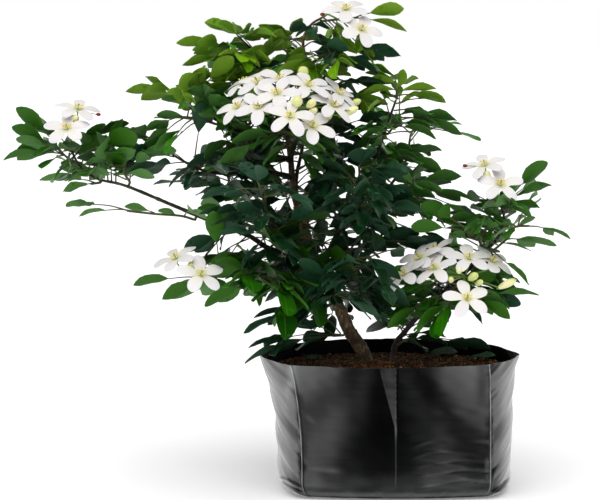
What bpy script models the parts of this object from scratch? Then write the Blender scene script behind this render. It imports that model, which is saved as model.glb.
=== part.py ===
"""Potted orange jasmine: a young shrub with two stems, leafy sprays and flower heads in a film grow bag.

The plan is worked out in millimetres and each object is written in metres, +Z up. The origin is the
middle of the bag's flat base, +X is to the viewer's right and -Y faces the viewer.
"""
import math
import random

import bmesh
import bpy
from mathutils import Matrix, Vector
from mathutils.bvhtree import BVHTree

# Driving dimensions, in millimetres
MM = 0.001                    # one millimetre in metres
GAP = 0.3                     # clearance between pieces that touch
BAG_RIM = 133.0               # height of the front of the rim
BAG_BACK_RISE = 3.0           # how much higher the back of the rim stands
BAG_WALL = 1.2                # wall of the solid bag, thicker than the real film
MOUTH_WIDTH = 261.0           # from one pointed end of the mouth to the other
MOUTH_DEPTH = 180.0           # front to back across the mouth
BODY_WIDTH = 234.0            # across the side gussets, half way up
BODY_DEPTH = 156.0
CREASE_HALF = 93.0            # half the width of the front panel, crease to crease
FOOT_INSET = 15.0             # how far the flat base stands inside the walls
FOOT_ROUND = 16.0             # height over which the bottom edge turns into the wall
SOIL_LEVEL = 120.5            # soil at the wall
SOIL_MOUND = 5.5              # extra height of the soil round the trunk
SOIL_CLEAR = 0.4              # between the soil and the film
SOIL_RING = 0.45              # size of the surface's middle ring, as a share of the bag's outline
MOUND_X = -20.0
MOUND_Y = 12.0
MOUND_REACH = 60.0
LEAFLET_THICK = 0.8
PETAL_THICK = 0.7
PETAL_LONG = 22.0
PETAL_WIDE = 10.0
FLOWER_RISE = (1.9, 2.7)      # how steeply the flowers of a head look up: rise over run
FLOWER_SPREAD = 0.4           # how much a flower also leans away from the middle of its head
STRIP_HALF = 0.7              # half the width of a leaf's stalk
SIDE_SPREAD = (42, 57)        # angle between a side leaflet and the leaf's stalk, in degrees
TWIG_TIP = 1.2                # radius of a twig at its tip
KNOT_LEAST = 2.0              # radius of the knot of flower stalks, before it grows with their number
KNOT_EACH = 0.28
HUB = 1.9                     # radius at which the petals join
CHECK_SWELL = 1.07            # how much larger a blade is made while it is tested for crossings
LEVEL_ANGLE = math.radians(1.5)
TRIES = 14                    # ways that a leaf is turned before it is given up
FRONT_TURN = 24.0             # how far every leaf turns towards the viewer, in degrees
TURN_SHARE = 0.65             # how much of a leaf's own turn is added
STEM_STEP = 40.0              # length of the straight pieces of a stem
BRANCH_STEP = 46.0
TWIG_STEP = 30.0
STALK_STEP = 17.0

# The shrub's places are read from the front, on a plane that leans back and is seen from this far away
LEAN = math.radians(7.5)
EYE_AWAY = 3000.0
EYE_AIM = Vector((-95.0, 0.0, 240.0))
AIM_UP = 237.9                # height of the aim on the leaning plane
ACROSS = Vector((1.0, 0.0, 0.0))
UPWARD = Vector((0.0, math.sin(LEAN), math.cos(LEAN)))
EYE = EYE_AIM + EYE_AWAY * Vector((0.0, -math.cos(LEAN), math.sin(LEAN)))
SKY = Vector((0.0, 0.0, 1.0))


def seen(across, up, depth):
    """Return the point that shows at (across, up) from the front and lies at y = depth."""
    on_plane = EYE_AIM + ACROSS * (across - EYE_AIM.x) + UPWARD * (up - AIM_UP)
    reach = (depth - EYE.y) / (on_plane.y - EYE.y)
    return EYE + (on_plane - EYE) * reach


# Woody routes: (across, up, depth, radius) from the foot to the tip
TRUNK_ROUTE = [
    (-27, 82, 15, 7.0), (-29, 128, 15, 7.0), (-46, 158, 10, 6.4), (-58, 185, 6, 5.8), (-74, 212, 4, 5.3),
    (-89, 254, 2, 4.8), (-101, 298, 4, 3.5), (-105, 335, 10, 2.9), (-113, 400, 18, 1.9), (-106, 438, 14, 1.3),
]
BRANCH_ROUTES = {
    "right_fork": [
        (-91, 266, 2, 3.6), (-78, 290, -1, 2.9), (-67, 318, -2, 2.5), (-62, 345, 0, 2.3), (-68, 378, 5, 2.0),
        (-82, 412, 4, 1.7), (-92, 443, -4, 1.5), (-85, 462, -12, 1.3), (-70, 472, -18, 1.1),
    ],
    "right_light": [
        (-73, 214, 4, 3.1), (-66, 236, 0, 2.8), (-54, 260, -3, 2.6), (-37, 284, -7, 2.3), (-27, 305, -8, 2.0),
        (-13, 348, -4, 1.5), (1, 388, -4, 1.1),
    ],
    "left_long": [
        (-83, 231, 3, 3.2), (-102, 233, -4, 2.9), (-127, 240, -12, 2.6), (-146, 252, -18, 2.4),
        (-175, 263, -24, 2.2), (-223, 283, -32, 1.8), (-269, 302, -36, 1.5), (-297, 309, -38, 1.3),
        (-314, 320, -40, 1.2), (-324, 338, -42, 1.1),
    ],
    "left_mid": [
        (-103, 310, 5, 2.2), (-135, 317, 0, 1.9), (-165, 314, -6, 1.6), (-190, 317, -12, 1.4),
        (-212, 327, -16, 1.2), (-229, 338, -18, 1.1),
    ],
    "left_upper": [
        (-105, 328, 9, 2.4), (-124, 334, 2, 2.1), (-140, 346, -4, 1.9), (-160, 357, -10, 1.7),
        (-187, 373, -16, 1.5), (-203, 381, -20, 1.3), (-214, 388, -24, 1.1),
    ],
    "left_low": [
        (-73, 209, 5, 2.6), (-96, 211, -10, 2.2), (-125, 213, -30, 1.9), (-152, 216, -46, 1.6),
        (-178, 220, -56, 1.2),
    ],
    "front_top": [
        (-105, 328, 9, 2.4), (-101, 340, -14, 2.0), (-97, 352, -36, 1.8), (-100, 366, -56, 1.5),
    ],
    "top_left": [
        (-112, 392, 18, 1.9), (-124, 415, 10, 1.6), (-138, 433, 2, 1.4), (-150, 445, -4, 1.1),
    ],
    "back_left": [
        (-88, 250, 2, 2.6), (-110, 262, 40, 2.2), (-135, 285, 75, 1.8), (-155, 320, 100, 1.4), (-160, 350, 112, 1.1),
    ],
    "back_right": [
        (-58, 253, -3, 2.2), (-42, 268, 30, 2.0), (-15, 290, 62, 1.6), (10, 325, 85, 1.3), (15, 350, 92, 1.1),
    ],
    "back_mid": [
        (-100, 296, 4, 2.4), (-98, 315, 40, 2.0), (-92, 345, 75, 1.6), (-90, 385, 96, 1.3), (-95, 405, 102, 1.1),
    ],
    "back_low": [
        (-59, 188, 6, 2.3), (-62, 200, 40, 1.9), (-70, 215, 80, 1.5), (-80, 232, 106, 1.2),
    ],
    "front_low": [
        (-61, 190, 5, 2.4), (-55, 200, -30, 2.0), (-42, 212, -62, 1.6), (-32, 224, -84, 1.2),
    ],
    "front_mid": [
        (-50, 266, -4, 2.1), (-46, 275, -35, 1.7), (-40, 292, -66, 1.4), (-36, 312, -88, 1.1),
    ],
    "front_left": [
        (-102, 233, -4, 2.1), (-112, 250, -34, 1.7), (-126, 272, -66, 1.4), (-133, 294, -86, 1.1),
    ],
}
SECOND_STEM_ROUTE = [
    (-3, 82, 12, 2.9), (-2, 128, 12, 2.9), (1, 145, 10, 2.7), (9, 155, 6, 2.6), (19, 167, 0, 2.5),
    (35, 183, -6, 2.3), (50, 197, -10, 2.2), (60, 206, -14, 2.1), (73, 218, -20, 2.0), (85, 233, -28, 1.8),
    (98, 244, -34, 1.6), (106, 256, -36, 1.4), (109, 270, -34, 1.2), (106, 282, -32, 1.1),
]
SHOOT_ROUTES = {
    "shoot_head": [(35, 183, -6, 1.9), (46, 188, -30, 1.6), (58, 196, -44, 1.3), (66, 204, -52, 1.1)],
    "shoot_back": [(9, 155, 6, 2.1), (22, 172, 40, 1.7), (38, 192, 70, 1.4), (50, 214, 88, 1.1)],
}

# Sprays: carrier, place along it from 0 to 1, the twig's points (across, up, depth) and its leaves.
# A leaf is (place along the twig, tip across, tip up, tip depth, leaflets, turn towards the front).
# With no leaves listed, the number after the points is how many the rule grows.
SPRAYS = [
    ("top_left", 1.0, [(-157, 452, -8)], 36, "young",
     [(1.0, -174, 471, -16, 3, 12), (0.7, -119, 463, 4, 2, 25), (0.4, -166, 449, -20, 1, 60)]),
    ("top_left", 0.45, [(-148, 430, -8), (-165, 437, -16)], 38, "young",
     [(1.0, -217, 454, -28, 3, 25), (0.6, -213, 430, -34, 2, 10), (0.5, -188, 443, 12, 1, 20)]),
    ("left_upper", 1.0, [(-223, 394, -27)], 38, "young",
     [(1.0, -268, 406, -32, 3, 15), (0.7, -246, 416, -20, 1, 30), (0.5, -203, 418, -34, 1, 55)]),
    ("left_upper", 0.66, [(-196, 369, -26), (-214, 371, -30)], 24, "mid",
     [(1.0, -252, 361, -34, 2, 30), (0.8, -238, 377, -30, 1, 50)]),
    ("left_upper", 0.40, [(-152, 372, -4), (-165, 388, -4)], 36, "mid",
     [(1.0, -196, 404, 10, 3, 20), (0.7, -188, 386, -20, 2, 15)]),
    ("trunk", 1.0, [(-106, 450, 16)], 36, "young",
     [(1.0, -95, 473, 6, 1, 15), (0.9, -134, 467, 14, 2, 20), (0.6, -76, 458, 34, 1, 25),
      (0.5, -120, 458, 84, 1, 0)]),
    ("right_fork", 0.74, [(-66, 434, -14), (-48, 438, -22)], 38, "deep",
     [(1.0, 6, 443, -30, 3, 15), (0.6, -12, 421, -34, 2, 20)]),
    ("right_fork", 0.55, [(-56, 404, -6), (-44, 408, -14)], 36, "deep",
     [(1.0, -10, 412, -24, 2, 10), (0.6, -32, 401, -46, 1, 40)]),
    ("right_fork", 0.97, [(-62, 468, -8), (-40, 470, -10)], 34, "young",
     [(1.0, 8, 485, -16, 1, 45), (0.9, 14, 465, -22, 1, 30), (0.5, -56, 450, 18, 1, 20)]),
    ("right_light", 1.0, [(3, 398, -5)], 36, "young",
     [(1.0, 10, 420, -12, 1, 70), (0.9, -33, 407, -12, 1, 15), (0.8, 40, 407, -8, 1, 30),
      (0.4, 52, 397, 6, 1, 20)]),
    ("right_light", 0.82, [(6, 371, -14)], 40, "mid",
     [(1.0, 69, 364, -24, 2, 12), (0.8, 61, 378, -14, 2, 10), (0.5, 45, 360, -40, 1, 12)]),
    ("right_light", 0.66, [(-5, 333, -14)], 38, "mid",
     [(1.0, 50, 324, -26, 2, 25), (0.7, 21, 341, -34, 2, 8), (0.6, 44, 347, 6, 1, 20)]),
    ("right_light", 0.40, [(-22, 283, -14), (-7, 290, -18), (18, 302, -22)], 36, "mid",
     [(1.0, 64, 320, -28, 2, 15), (0.8, 79, 296, -36, 2, 15), (0.5, 42, 300, -48, 1, 30)]),
    ("right_light", 0.14, [(-40, 238, -24), (-20, 245, -34)], 38, "deep",
     [(1.0, 56, 248, -32, 3, 15), (0.7, 22, 262, -40, 2, 10), (0.5, -10, 222, -70, 1, 25)]),
    ("second_stem", 0.77, [(86, 247, -54), (74, 256, -62)], 30, "bright",
     [(1.0, 28, 288, -62, 2, 55), (0.8, 79, 270, -74, 1, 75), (0.9, 16, 267, -66, 1, 50)]),
    ("second_stem", 0.82, [(112, 249, -40)], 38, "mid",
     [(1.0, 162, 250, -44, 2, 8), (0.7, 137, 244, -56, 1, 5)]),
    ("second_stem", 0.89, [(120, 261, -34), (134, 262, -34)], 26, "mid",
     [(1.0, 177, 256, -36, 2, 8), (0.6, 139, 273, -34, 1, 50), (0.2, 126, 276, -12, 1, 20)]),
    ("second_stem", 0.97, [(114, 288, -28)], 34, "bright",
     [(1.0, 147, 330, -22, 1, 50), (0.95, 153, 310, -26, 1, 25), (0.8, 145, 287, -30, 1, 25),
      (0.5, 84, 290, -52, 1, 40)]),
    ("second_stem", 0.60, [(66, 222, 2), (70, 228, 10)], 38, "deep",
     [(1.0, 102, 244, 26, 2, 10), (0.7, 40, 250, 18, 2, 15)]),
    ("second_stem", 0.53, [(56, 190, 4), (66, 186, 6)], 36, "deep",
     [(1.0, 91, 168, -4, 1, 35), (0.8, 127, 192, -8, 2, 40)]),
    ("shoot_head", 0.6, [(72, 190, -46), (84, 188, -48)], 40, "bright",
     [(1.0, 118, 175, -54, 1, 45), (0.9, 142, 204, -50, 1, 8)]),
    ("second_stem", 0.26, [(10, 148, -2), (16, 149, 0)], 38, "deep",
     [(1.0, 53, 153, -16, 1, 20), (0.7, 96, 147, 24, 2, 25), (0.5, 34, 146, -44, 1, 15)]),
    ("trunk", 0.31, [(-72, 178, -10)], 38, "deep",
     [(1.0, -154, 165, -34, 3, 15), (0.8, -142, 178, -16, 2, 10), (0.5, -110, 160, -60, 1, 12)]),
    ("trunk", 0.22, [(-62, 152, -6)], 40, "deep",
     [(1.0, -154, 135, -34, 3, 20), (0.8, -148, 150, -20, 2, 8), (0.6, -100, 146, -60, 1, 10)]),
    ("left_low", 0.48, [(-124, 206, -50), (-132, 210, -62)], 34, "bright",
     [(1.0, -180, 232, -84, 2, 45), (0.9, -193, 188, -74, 2, 30), (0.7, -140, 183, -66, 1, 75),
      (0.6, -95, 182, -62, 1, 60), (0.8, -120, 228, -94, 1, 30)]),
    ("left_low", 0.94, [(-184, 208, -56)], 36, "bright",
     [(1.0, -262, 210, -66, 1, 30), (0.9, -235, 197, -58, 1, 30), (0.4, -152, 247, -58, 1, 50)]),
    ("left_long", 0.36, [(-168, 254, -34)], 34, "deep",
     [(1.0, -213, 244, -44, 2, 55), (0.7, -178, 240, -46, 1, 60), (0.4, -140, 268, -54, 1, 12)]),
    ("left_long", 0.47, [(-214, 272, -34), (-240, 274, -38), (-268, 277, -42)], 24, "mid",
     [(1.0, -329, 288, -50, 2, 10), (0.85, -316, 279, -56, 1, 8), (0.6, -268, 286, -30, 1, 50),
      (0.3, -236, 282, -48, 1, 30)]),
    ("left_long", 0.74, [(-271, 316, -34), (-269, 328, -34)], 34, "mid",
     [(1.0, -221, 346, -36, 1, 25), (0.95, -272, 352, -40, 1, 60), (0.5, -240, 315, -42, 1, 45)]),
    ("left_long", 0.84, [(-304, 304, -48)], 36, "mid",
     [(1.0, -334, 302, -56, 1, 45), (0.6, -354, 318, -56, 2, 20), (0.3, -292, 326, -62, 1, 60)]),
    ("left_long", 0.95, [(-332, 334, -36)], 33, "bright",
     [(1.0, -392, 337, -46, 2, 6), (0.95, -374, 384, -32, 1, 55), (0.9, -380, 366, -40, 1, 30),
      (0.8, -372, 346, -24, 1, 30), (0.5, -288, 356, -40, 1, 40), (0.7, -271, 372, -20, 1, 25)]),
    ("left_mid", 1.0, [(-235, 339, -20)], 30, "mid",
     [(1.0, -256, 335, -26, 1, 25), (0.5, -250, 352, -10, 2, 25)]),
    ("left_mid", 0.72, [(-196, 326, -22)], 36, "deep",
     [(1.0, -231, 308, -30, 1, 10), (0.8, -186, 346, -34, 1, 50), (0.5, -214, 304, -44, 1, 10)]),
    ("left_mid", 0.36, [(-150, 328, -14), (-158, 334, -26)], 38, "deep",
     [(1.0, -212, 336, -36, 2, 12), (0.7, -150, 346, -54, 2, 12)]),
    ("left_mid", 0.50, [(-166, 306, -22), (-170, 300, -34)], 38, "deep",
     [(1.0, -200, 300, -50, 2, 12), (0.7, -140, 304, -64, 2, 15)]),
    ("front_top", 0.72, [(-112, 356, -56), (-118, 356, -64)], 44, "mid",
     [(1.0, -165, 354, -76, 1, 35), (0.7, -66, 346, -84, 1, 40), (0.5, -132, 338, -80, 1, 25)]),
    ("front_left", 1.0, [(-136, 304, -92)], 36, "deep",
     [(1.0, -152, 330, -108, 2, 12), (0.8, -88, 298, -104, 1, 20)]),
    ("front_left", 0.5, [(-122, 254, -62), (-128, 252, -74)], 36, "deep",
     [(1.0, -176, 262, -92, 2, 12), (0.7, -110, 246, -120, 2, 12)]),
    ("front_mid", 1.0, [(-36, 322, -94)], 38, "deep",
     [(1.0, -20, 344, -112, 2, 15), (0.8, 12, 314, -102, 2, 12)]),
    ("front_mid", 0.55, [(-30, 280, -62), (-18, 280, -74)], 36, "deep",
     [(1.0, 30, 284, -98, 2, 12), (0.7, -40, 262, -112, 2, 15)]),
    ("front_low", 1.0, [(-28, 232, -90)], 38, "deep",
     [(1.0, -6, 212, -128, 2, 15), (0.8, -72, 224, -122, 2, 12)]),
    ("front_low", 0.5, [(-50, 196, -64), (-56, 192, -72)], 38, "deep",
     [(1.0, -20, 176, -108, 2, 20), (0.7, -90, 184, -104, 2, 12)]),
    ("back_left", 1.0, [(-162, 358, 116)], 38, "mid", 3),
    ("back_left", 0.62, [(-158, 296, 104), (-168, 298, 112)], 38, "deep", 3),
    ("back_mid", 1.0, [(-98, 412, 106)], 38, "mid", 3),
    ("back_mid", 0.55, [(-110, 350, 98), (-116, 354, 108)], 38, "deep", 3),
    ("back_right", 1.0, [(18, 358, 96)], 38, "mid", 3),
    ("back_right", 0.55, [(2, 292, 84), (10, 296, 94)], 38, "deep", 3),
    ("back_low", 1.0, [(-82, 238, 112)], 38, "deep", 3),
]

# Flower heads: carrier, middle of the head (across, up, depth), open flowers and buds about it.
# A flower is (across, up, depth, heading): heading 0 looks at the viewer, positive ones to the right.
# A bud is (across, up, depth, length, width, heading).
HEADS = {
    "left": ("left_long", 1.0, (-322, 356, -50),
             [(-328, 359, -72, -10), (-317, 378, -52, 15)], [(-320, 369, -60, 12, 8, 20)]),
    "top": ("right_fork", 1.0, (-52, 466, -30),
            [(-34, 458, -52, 15), (-49, 478, -36, -10)], [(-46, 468, -40, 12, 8, 10)]),
    "right": ("second_stem", 1.0, (100, 304, -44),
              [(105, 303, -62, 15), (90, 322, -46, -15)], [(92, 313, -52, 12, 8, -10)]),
    "low_left": ("left_low", 1.0, (-200, 220, -68),
                 [(-194, 213, -92, 15), (-219, 229, -74, -15)], [(-204, 222, -82, 13, 8, 10)]),
    "centre": ("front_top", 1.0, (-110, 378, -74),
               [(-115, 408, -88, 0), (-118, 394, -112, -5), (-136, 380, -120, -10), (-157, 380, -106, -35),
                (-105, 371, -136, 5), (-83, 361, -126, 20), (-87, 402, -98, 20), (-137, 404, -84, -20),
                (-150, 405, -66, -45), (-57, 394, -84, 50), (-62, 382, -104, 35)],
               [(-98, 386, -128, 17, 11, 10), (-84, 384, -120, 16, 8, 30), (-83, 376, -118, 15, 7, 40),
                (-92, 416, -74, 12, 11, 20), (-46, 376, -94, 20, 8, 80), (-68, 372, -108, 12, 9, 40),
                (-40, 385, -78, 13, 7, 70)]),
    "low_right": ("shoot_head", 1.0, (70, 212, -58),
                  [(25, 229, -70, -35), (40, 237, -58, -15), (40, 219, -84, -20), (74, 229, -76, 5),
                   (97, 226, -68, 30), (72, 189, -106, 15), (10, 213, -82, -60)],
                  [(78, 211, -98, 16, 8, 30), (64, 217, -96, 11, 6, 0), (112, 204, -78, 20, 8, 80),
                   (84, 205, -94, 11, 6, 40), (56, 208, -98, 9, 6, -10)]),
}


# Curves

def smooth(points, step):
    """Return points about step apart on one smooth curve through all the given points."""
    if len(points) < 2:
        return [Vector(p) for p in points]
    ends = [points[0] * 2 - points[1]] + list(points) + [points[-1] * 2 - points[-2]]
    curve = []
    for before, start, stop, after in zip(ends, ends[1:], ends[2:], ends[3:]):
        count = max(1, round((stop.to_3d() - start.to_3d()).length / step))
        for k in range(count):
            t = k / count
            curve.append(0.5 * ((2 * start) + (stop - before) * t
                                + (2 * before - 5 * start + 4 * stop - after) * t * t
                                + (3 * start - before - 3 * stop + after) * t ** 3))
    curve.append(points[-1].copy())
    return curve


class Route:
    """A smooth woody or green line with a radius at each point."""

    def __init__(self, points, step):
        curve = smooth([Vector((*p[:3], p[3])) for p in points], step)
        self.points = [Vector(p[:3]) for p in curve]
        self.radii = [p[3] for p in curve]
        self.along = [0.0]
        for a, b in zip(self.points, self.points[1:]):
            self.along.append(self.along[-1] + (b - a).length)

    def at(self, part):
        """Return the point, the direction and the radius at a part of the length from 0 to 1."""
        goal = part * self.along[-1]
        k = next((i for i in range(1, len(self.along) - 1) if self.along[i] >= goal), len(self.along) - 1)
        span = self.along[k] - self.along[k - 1]
        t = (goal - self.along[k - 1]) / span
        point = self.points[k - 1].lerp(self.points[k], t)
        radius = self.radii[k - 1] + (self.radii[k] - self.radii[k - 1]) * t
        return point, (self.points[k] - self.points[k - 1]).normalized(), radius


# Solids: each returns its vertices and its triangles, closed, with the faces outwards

def tube(points, radii, sides):
    """Return a closed tube round a line, carried along it without twist."""
    tangents = []
    for k in range(len(points)):
        tangents.append((points[min(k + 1, len(points) - 1)] - points[max(k - 1, 0)]).normalized())
    side = tangents[0].orthogonal().normalized()
    verts = []
    for point, tangent, radius in zip(points, tangents, radii):
        side = (side - tangent * side.dot(tangent)).normalized()
        other = tangent.cross(side)
        for k in range(sides):
            angle = 2 * math.pi * k / sides
            verts.append(point + (side * math.cos(angle) + other * math.sin(angle)) * radius)
    faces = []
    for ring in range(len(points) - 1):
        for k in range(sides):
            a = ring * sides + k
            b = ring * sides + (k + 1) % sides
            faces += [(a, b, b + sides), (a, b + sides, a + sides)]
    last = (len(points) - 1) * sides
    for k in range(1, sides - 1):
        faces.append((0, k + 1, k))
        faces.append((last, last + k, last + k + 1))
    return verts, faces


def thicken(points, normals, triangles, thick):
    """Return a closed solid from an open surface: the same triangles on both faces and a rim round its edge."""
    upper = [p + n * (thick / 2) for p, n in zip(points, normals)]
    lower = [p - n * (thick / 2) for p, n in zip(points, normals)]
    count = len(points)
    edges = {(a, b) for t in triangles for a, b in zip(t, t[1:] + t[:1])}
    faces = list(triangles)
    faces += [(c + count, b + count, a + count) for a, b, c in triangles]
    for a, b in sorted(edges):
        if (b, a) not in edges:
            faces += [(b, a, a + count), (b, a + count, b + count)]
    return upper + lower, faces


def blade_points(frame, length, width, profile, lift):
    """Return the right side, any tip and the left side of a blade, from base to tip and back."""
    right = [frame @ Vector((length * t, -width / 2 * s, length * lift(t))) for t, s in profile]
    left = [frame @ Vector((length * t, width / 2 * s, length * lift(t))) for t, s in reversed(profile)]
    return right + left[1:] if profile[-1][1] == 0.0 else right + left


def blade_triangles(start, right_foot, left_foot, pointed=True):
    """Return the triangles of a blade, pointed or blunt, from its foot's two corners."""
    r1, r2, l2, l1 = (start, start + 1, start + 3, start + 4) if pointed else range(start, start + 4)
    triangles = [(right_foot, r1, left_foot), (r1, l1, left_foot), (r1, r2, l1), (r2, l2, l1)]
    return triangles + [(r2, start + 2, l2)] if pointed else triangles


LEAF_PROFILE = [(0.34, 0.90), (0.74, 0.86), (1.0, 0.0)]
PETAL_PROFILE = [(0.50, 0.88), (1.0, 0.66)]


def bud(base, heading, length, width):
    """Return a closed bud: a six-sided spindle, blunt at its foot."""
    shares = [(0.0, 0.4), (0.45, 1.0), (1.0, 0.3)]
    points = [base + heading * (length * t) for t, _ in shares]
    return tube(points, [width / 2 * w for _, w in shares], 5)


# Nodes: each gathers its solids, and one union joins them

class Node:
    """One named piece of the plant, with its raw solids and its material."""

    def __init__(self, name, finish):
        self.name = name
        self.finish = finish
        self.solids = []
        self.tree = None

    def close(self):
        """Remember the finished solids as one tree of triangles for the crossing tests."""
        verts = []
        faces = []
        for solid_verts, solid_faces in self.solids:
            start = len(verts)
            verts += solid_verts
            faces += [tuple(i + start for i in face) for face in solid_faces]
        self.tree = BVHTree.FromPolygons(verts, faces)


def crosses(solid, nodes):
    """Tell whether a solid's surface crosses any finished node."""
    tree = BVHTree.FromPolygons(solid[0], solid[1])
    return any(tree.overlap(node.tree) for node in nodes)


def frame_along(origin, direction, normal):
    """Return the placing of a blade: x along it, z out of its upper face."""
    x = direction.normalized()
    z = (normal - x * normal.dot(x)).normalized()
    y = z.cross(x)
    return Matrix.Translation(origin) @ Matrix((x, y, z)).transposed().to_4x4()


def level_up(direction, turn):
    """Return the upward normal of a blade, turned by an angle in degrees towards the front."""
    up = (SKY - direction * SKY.dot(direction)).normalized()
    front = Vector((0.0, -1.0, 0.0))
    sign = 1.0 if direction.cross(up).dot(front) > 0 else -1.0
    return Matrix.Rotation(math.radians(-turn) * sign, 3, direction) @ up


# Leaves

class Leaflet:
    """Where one leaflet stands and how it is shaped."""

    def __init__(self, frame, length, width, droop, side, part):
        self.frame = frame
        self.length = length
        self.width = width
        self.droop = droop
        self.side = side
        self.part = part

    def points(self, swell=1.0):
        def lift(t):
            return -self.droop * t * t
        return blade_points(self.frame, self.length * swell, self.width * swell, LEAF_PROFILE, lift)

    def normal(self):
        return self.frame.to_3x3() @ SKY

    def tester(self):
        """Return a larger, thicker solid of the leaflet alone, for the crossing tests."""
        foot = [self.frame @ Vector((0.0, -0.8, 0.0)), self.frame @ Vector((0.0, 0.8, 0.0))]
        points = foot + self.points(CHECK_SWELL)
        return thicken(points, [self.normal()] * 7, blade_triangles(2, 0, 1), 2 * LEAFLET_THICK)


class Leaf:
    """One compound leaf: its stalk line, its upward normal and its leaflets."""

    def __init__(self, line, up):
        self.line = line
        self.up = up
        self.blades = []

    def solid(self):
        """Return the whole leaf as one thin solid: a stalk strip with its leaflets on its two edges."""
        end = self.line.along[-1]
        points = []
        normals = []
        triangles = []
        sides = {1: [(0.0, None)], -1: [(0.0, None)]}
        for blade in sorted(self.blades, key=lambda item: item.part):
            if blade.side:
                middle = blade.part * end
                sides[blade.side] += [(middle - STRIP_HALF, None), (middle + STRIP_HALF, blade)]
        rows = {}
        for side, stations in sides.items():
            stations.append((end, None))
            rows[side] = []
            for station, _ in stations:
                point, heading, _ = self.line.at(station / end)
                out = self.up.cross(heading).normalized() * side * STRIP_HALF
                rows[side].append(len(points))
                points.append(point + out)
                normals.append(self.up)
        i = 0
        j = 0
        left, right = rows[1], rows[-1]
        while i < len(left) - 1 or j < len(right) - 1:
            next_left = sides[1][i + 1][0] if i < len(left) - 1 else math.inf
            next_right = sides[-1][j + 1][0] if j < len(right) - 1 else math.inf
            if next_right <= next_left:
                triangles.append((right[j], right[j + 1], left[i]))
                j += 1
            else:
                triangles.append((right[j], left[i + 1], left[i]))
                i += 1
        for side, stations in sides.items():
            for k, (_, blade) in enumerate(stations):
                if blade:
                    feet = (rows[side][k - 1], rows[side][k])
                    right_foot, left_foot = feet if side < 0 else feet[::-1]
                    triangles += blade_triangles(len(points), right_foot, left_foot)
                    points += blade.points()
                    normals += [blade.normal()] * 5
        for blade in self.blades:
            if not blade.side:
                triangles += blade_triangles(len(points), right[-1], left[-1])
                points += blade.points()
                normals += [blade.normal()] * 5
        return thicken(points, normals, triangles, LEAFLET_THICK)


def place_leaflet(rng, base, direction, turn, length, side, part, others):
    """Try a few tilts until the leaflet clears everything near it; return it, or None."""
    width = length * rng.uniform(0.42, 0.50)
    for attempt in range(TRIES):
        spread = 6 + 3.0 * attempt
        tilt = turn + rng.uniform(-spread, spread)
        swing = Matrix.Rotation(math.radians(rng.uniform(-spread, spread) * 0.6), 3, SKY)
        aim = (swing @ direction + SKY * rng.uniform(-0.02, 0.02) * attempt).normalized()
        blade = Leaflet(frame_along(base, aim, level_up(aim, tilt)), length, width,
                        rng.uniform(0.10, 0.20), side, part)
        if not crosses(blade.tester(), others):
            return blade
    return None


def place_leaf(rng, base, tip, count, size, turn, others, near):
    """Return one compound leaf, or None where its stalk can't clear what is there.

    others are the finished nodes, and near are the leaflets of the same spray, which it adds to.
    """
    reach = (tip - base).length
    direction = (tip - base).normalized()
    end_size = min(size * rng.uniform(0.96, 1.1), reach * 0.86)
    stalk = reach - end_size
    middle = base + direction * (stalk * 0.5) + SKY * (stalk * 0.05)
    line = Route([(*p, 0.9) for p in (base, middle, base + direction * stalk)], STALK_STEP)
    far_part = [base + direction * 2.5] + line.points[1:]
    if crosses(tube(far_part, line.radii, 3), others + near):
        return None
    leaf = Leaf(line, level_up(direction, turn * 0.4))
    tail = line.at(1.0)[1]
    side = rng.choice((-1, 1))
    for k in range(count):
        if k == 0:
            blade = place_leaflet(rng, line.points[-1], tail, turn, end_size, 0, 1.0, others + near)
        else:
            part = 0.90 - 0.56 * (k - 1) / max(1, count - 1)
            point, heading, _ = line.at(part)
            angle = math.radians(side * rng.uniform(*SIDE_SPREAD))
            out = Matrix.Rotation(angle, 3, leaf.up) @ heading
            edge = leaf.up.cross(heading).normalized() * side * STRIP_HALF
            length = size * rng.uniform(0.78, 0.98)
            blade = place_leaflet(rng, point + edge, out, turn, length, side, part, others + near)
            side = -side
        if blade:
            leaf.blades.append(blade)
            near.append(Patch(blade.points(), [(0, 1, 4), (1, 3, 4), (1, 2, 3)]))
    return leaf


class Patch:
    """A leaflet or petal that the next ones of its own node have to clear."""

    def __init__(self, points, triangles):
        self.tree = BVHTree.FromPolygons(points, triangles)


class Spray:
    """One leafy shoot: its twig, its leaf stalks and its leaflets."""

    def __init__(self, name, tone):
        self.node = Node(name, tone)
        self.twig = None
        self.leaves = []
        self.missed = 0


def rule_tips(rng, base, heading, size, count):
    """Return the tips of leaves that fan out round a twig's end, wide and a little downwards."""
    outward = Vector((heading.x, heading.y, 0.0)).normalized()
    tips = []
    for k in range(count):
        angle = math.radians(-75 + 150 * k / (count - 1) + rng.uniform(-12, 12))
        aim = Matrix.Rotation(angle, 3, SKY) @ outward + SKY * rng.uniform(-0.25, 0.45)
        tips.append(base + aim.normalized() * size * rng.uniform(1.9, 2.4))
    return tips


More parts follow.
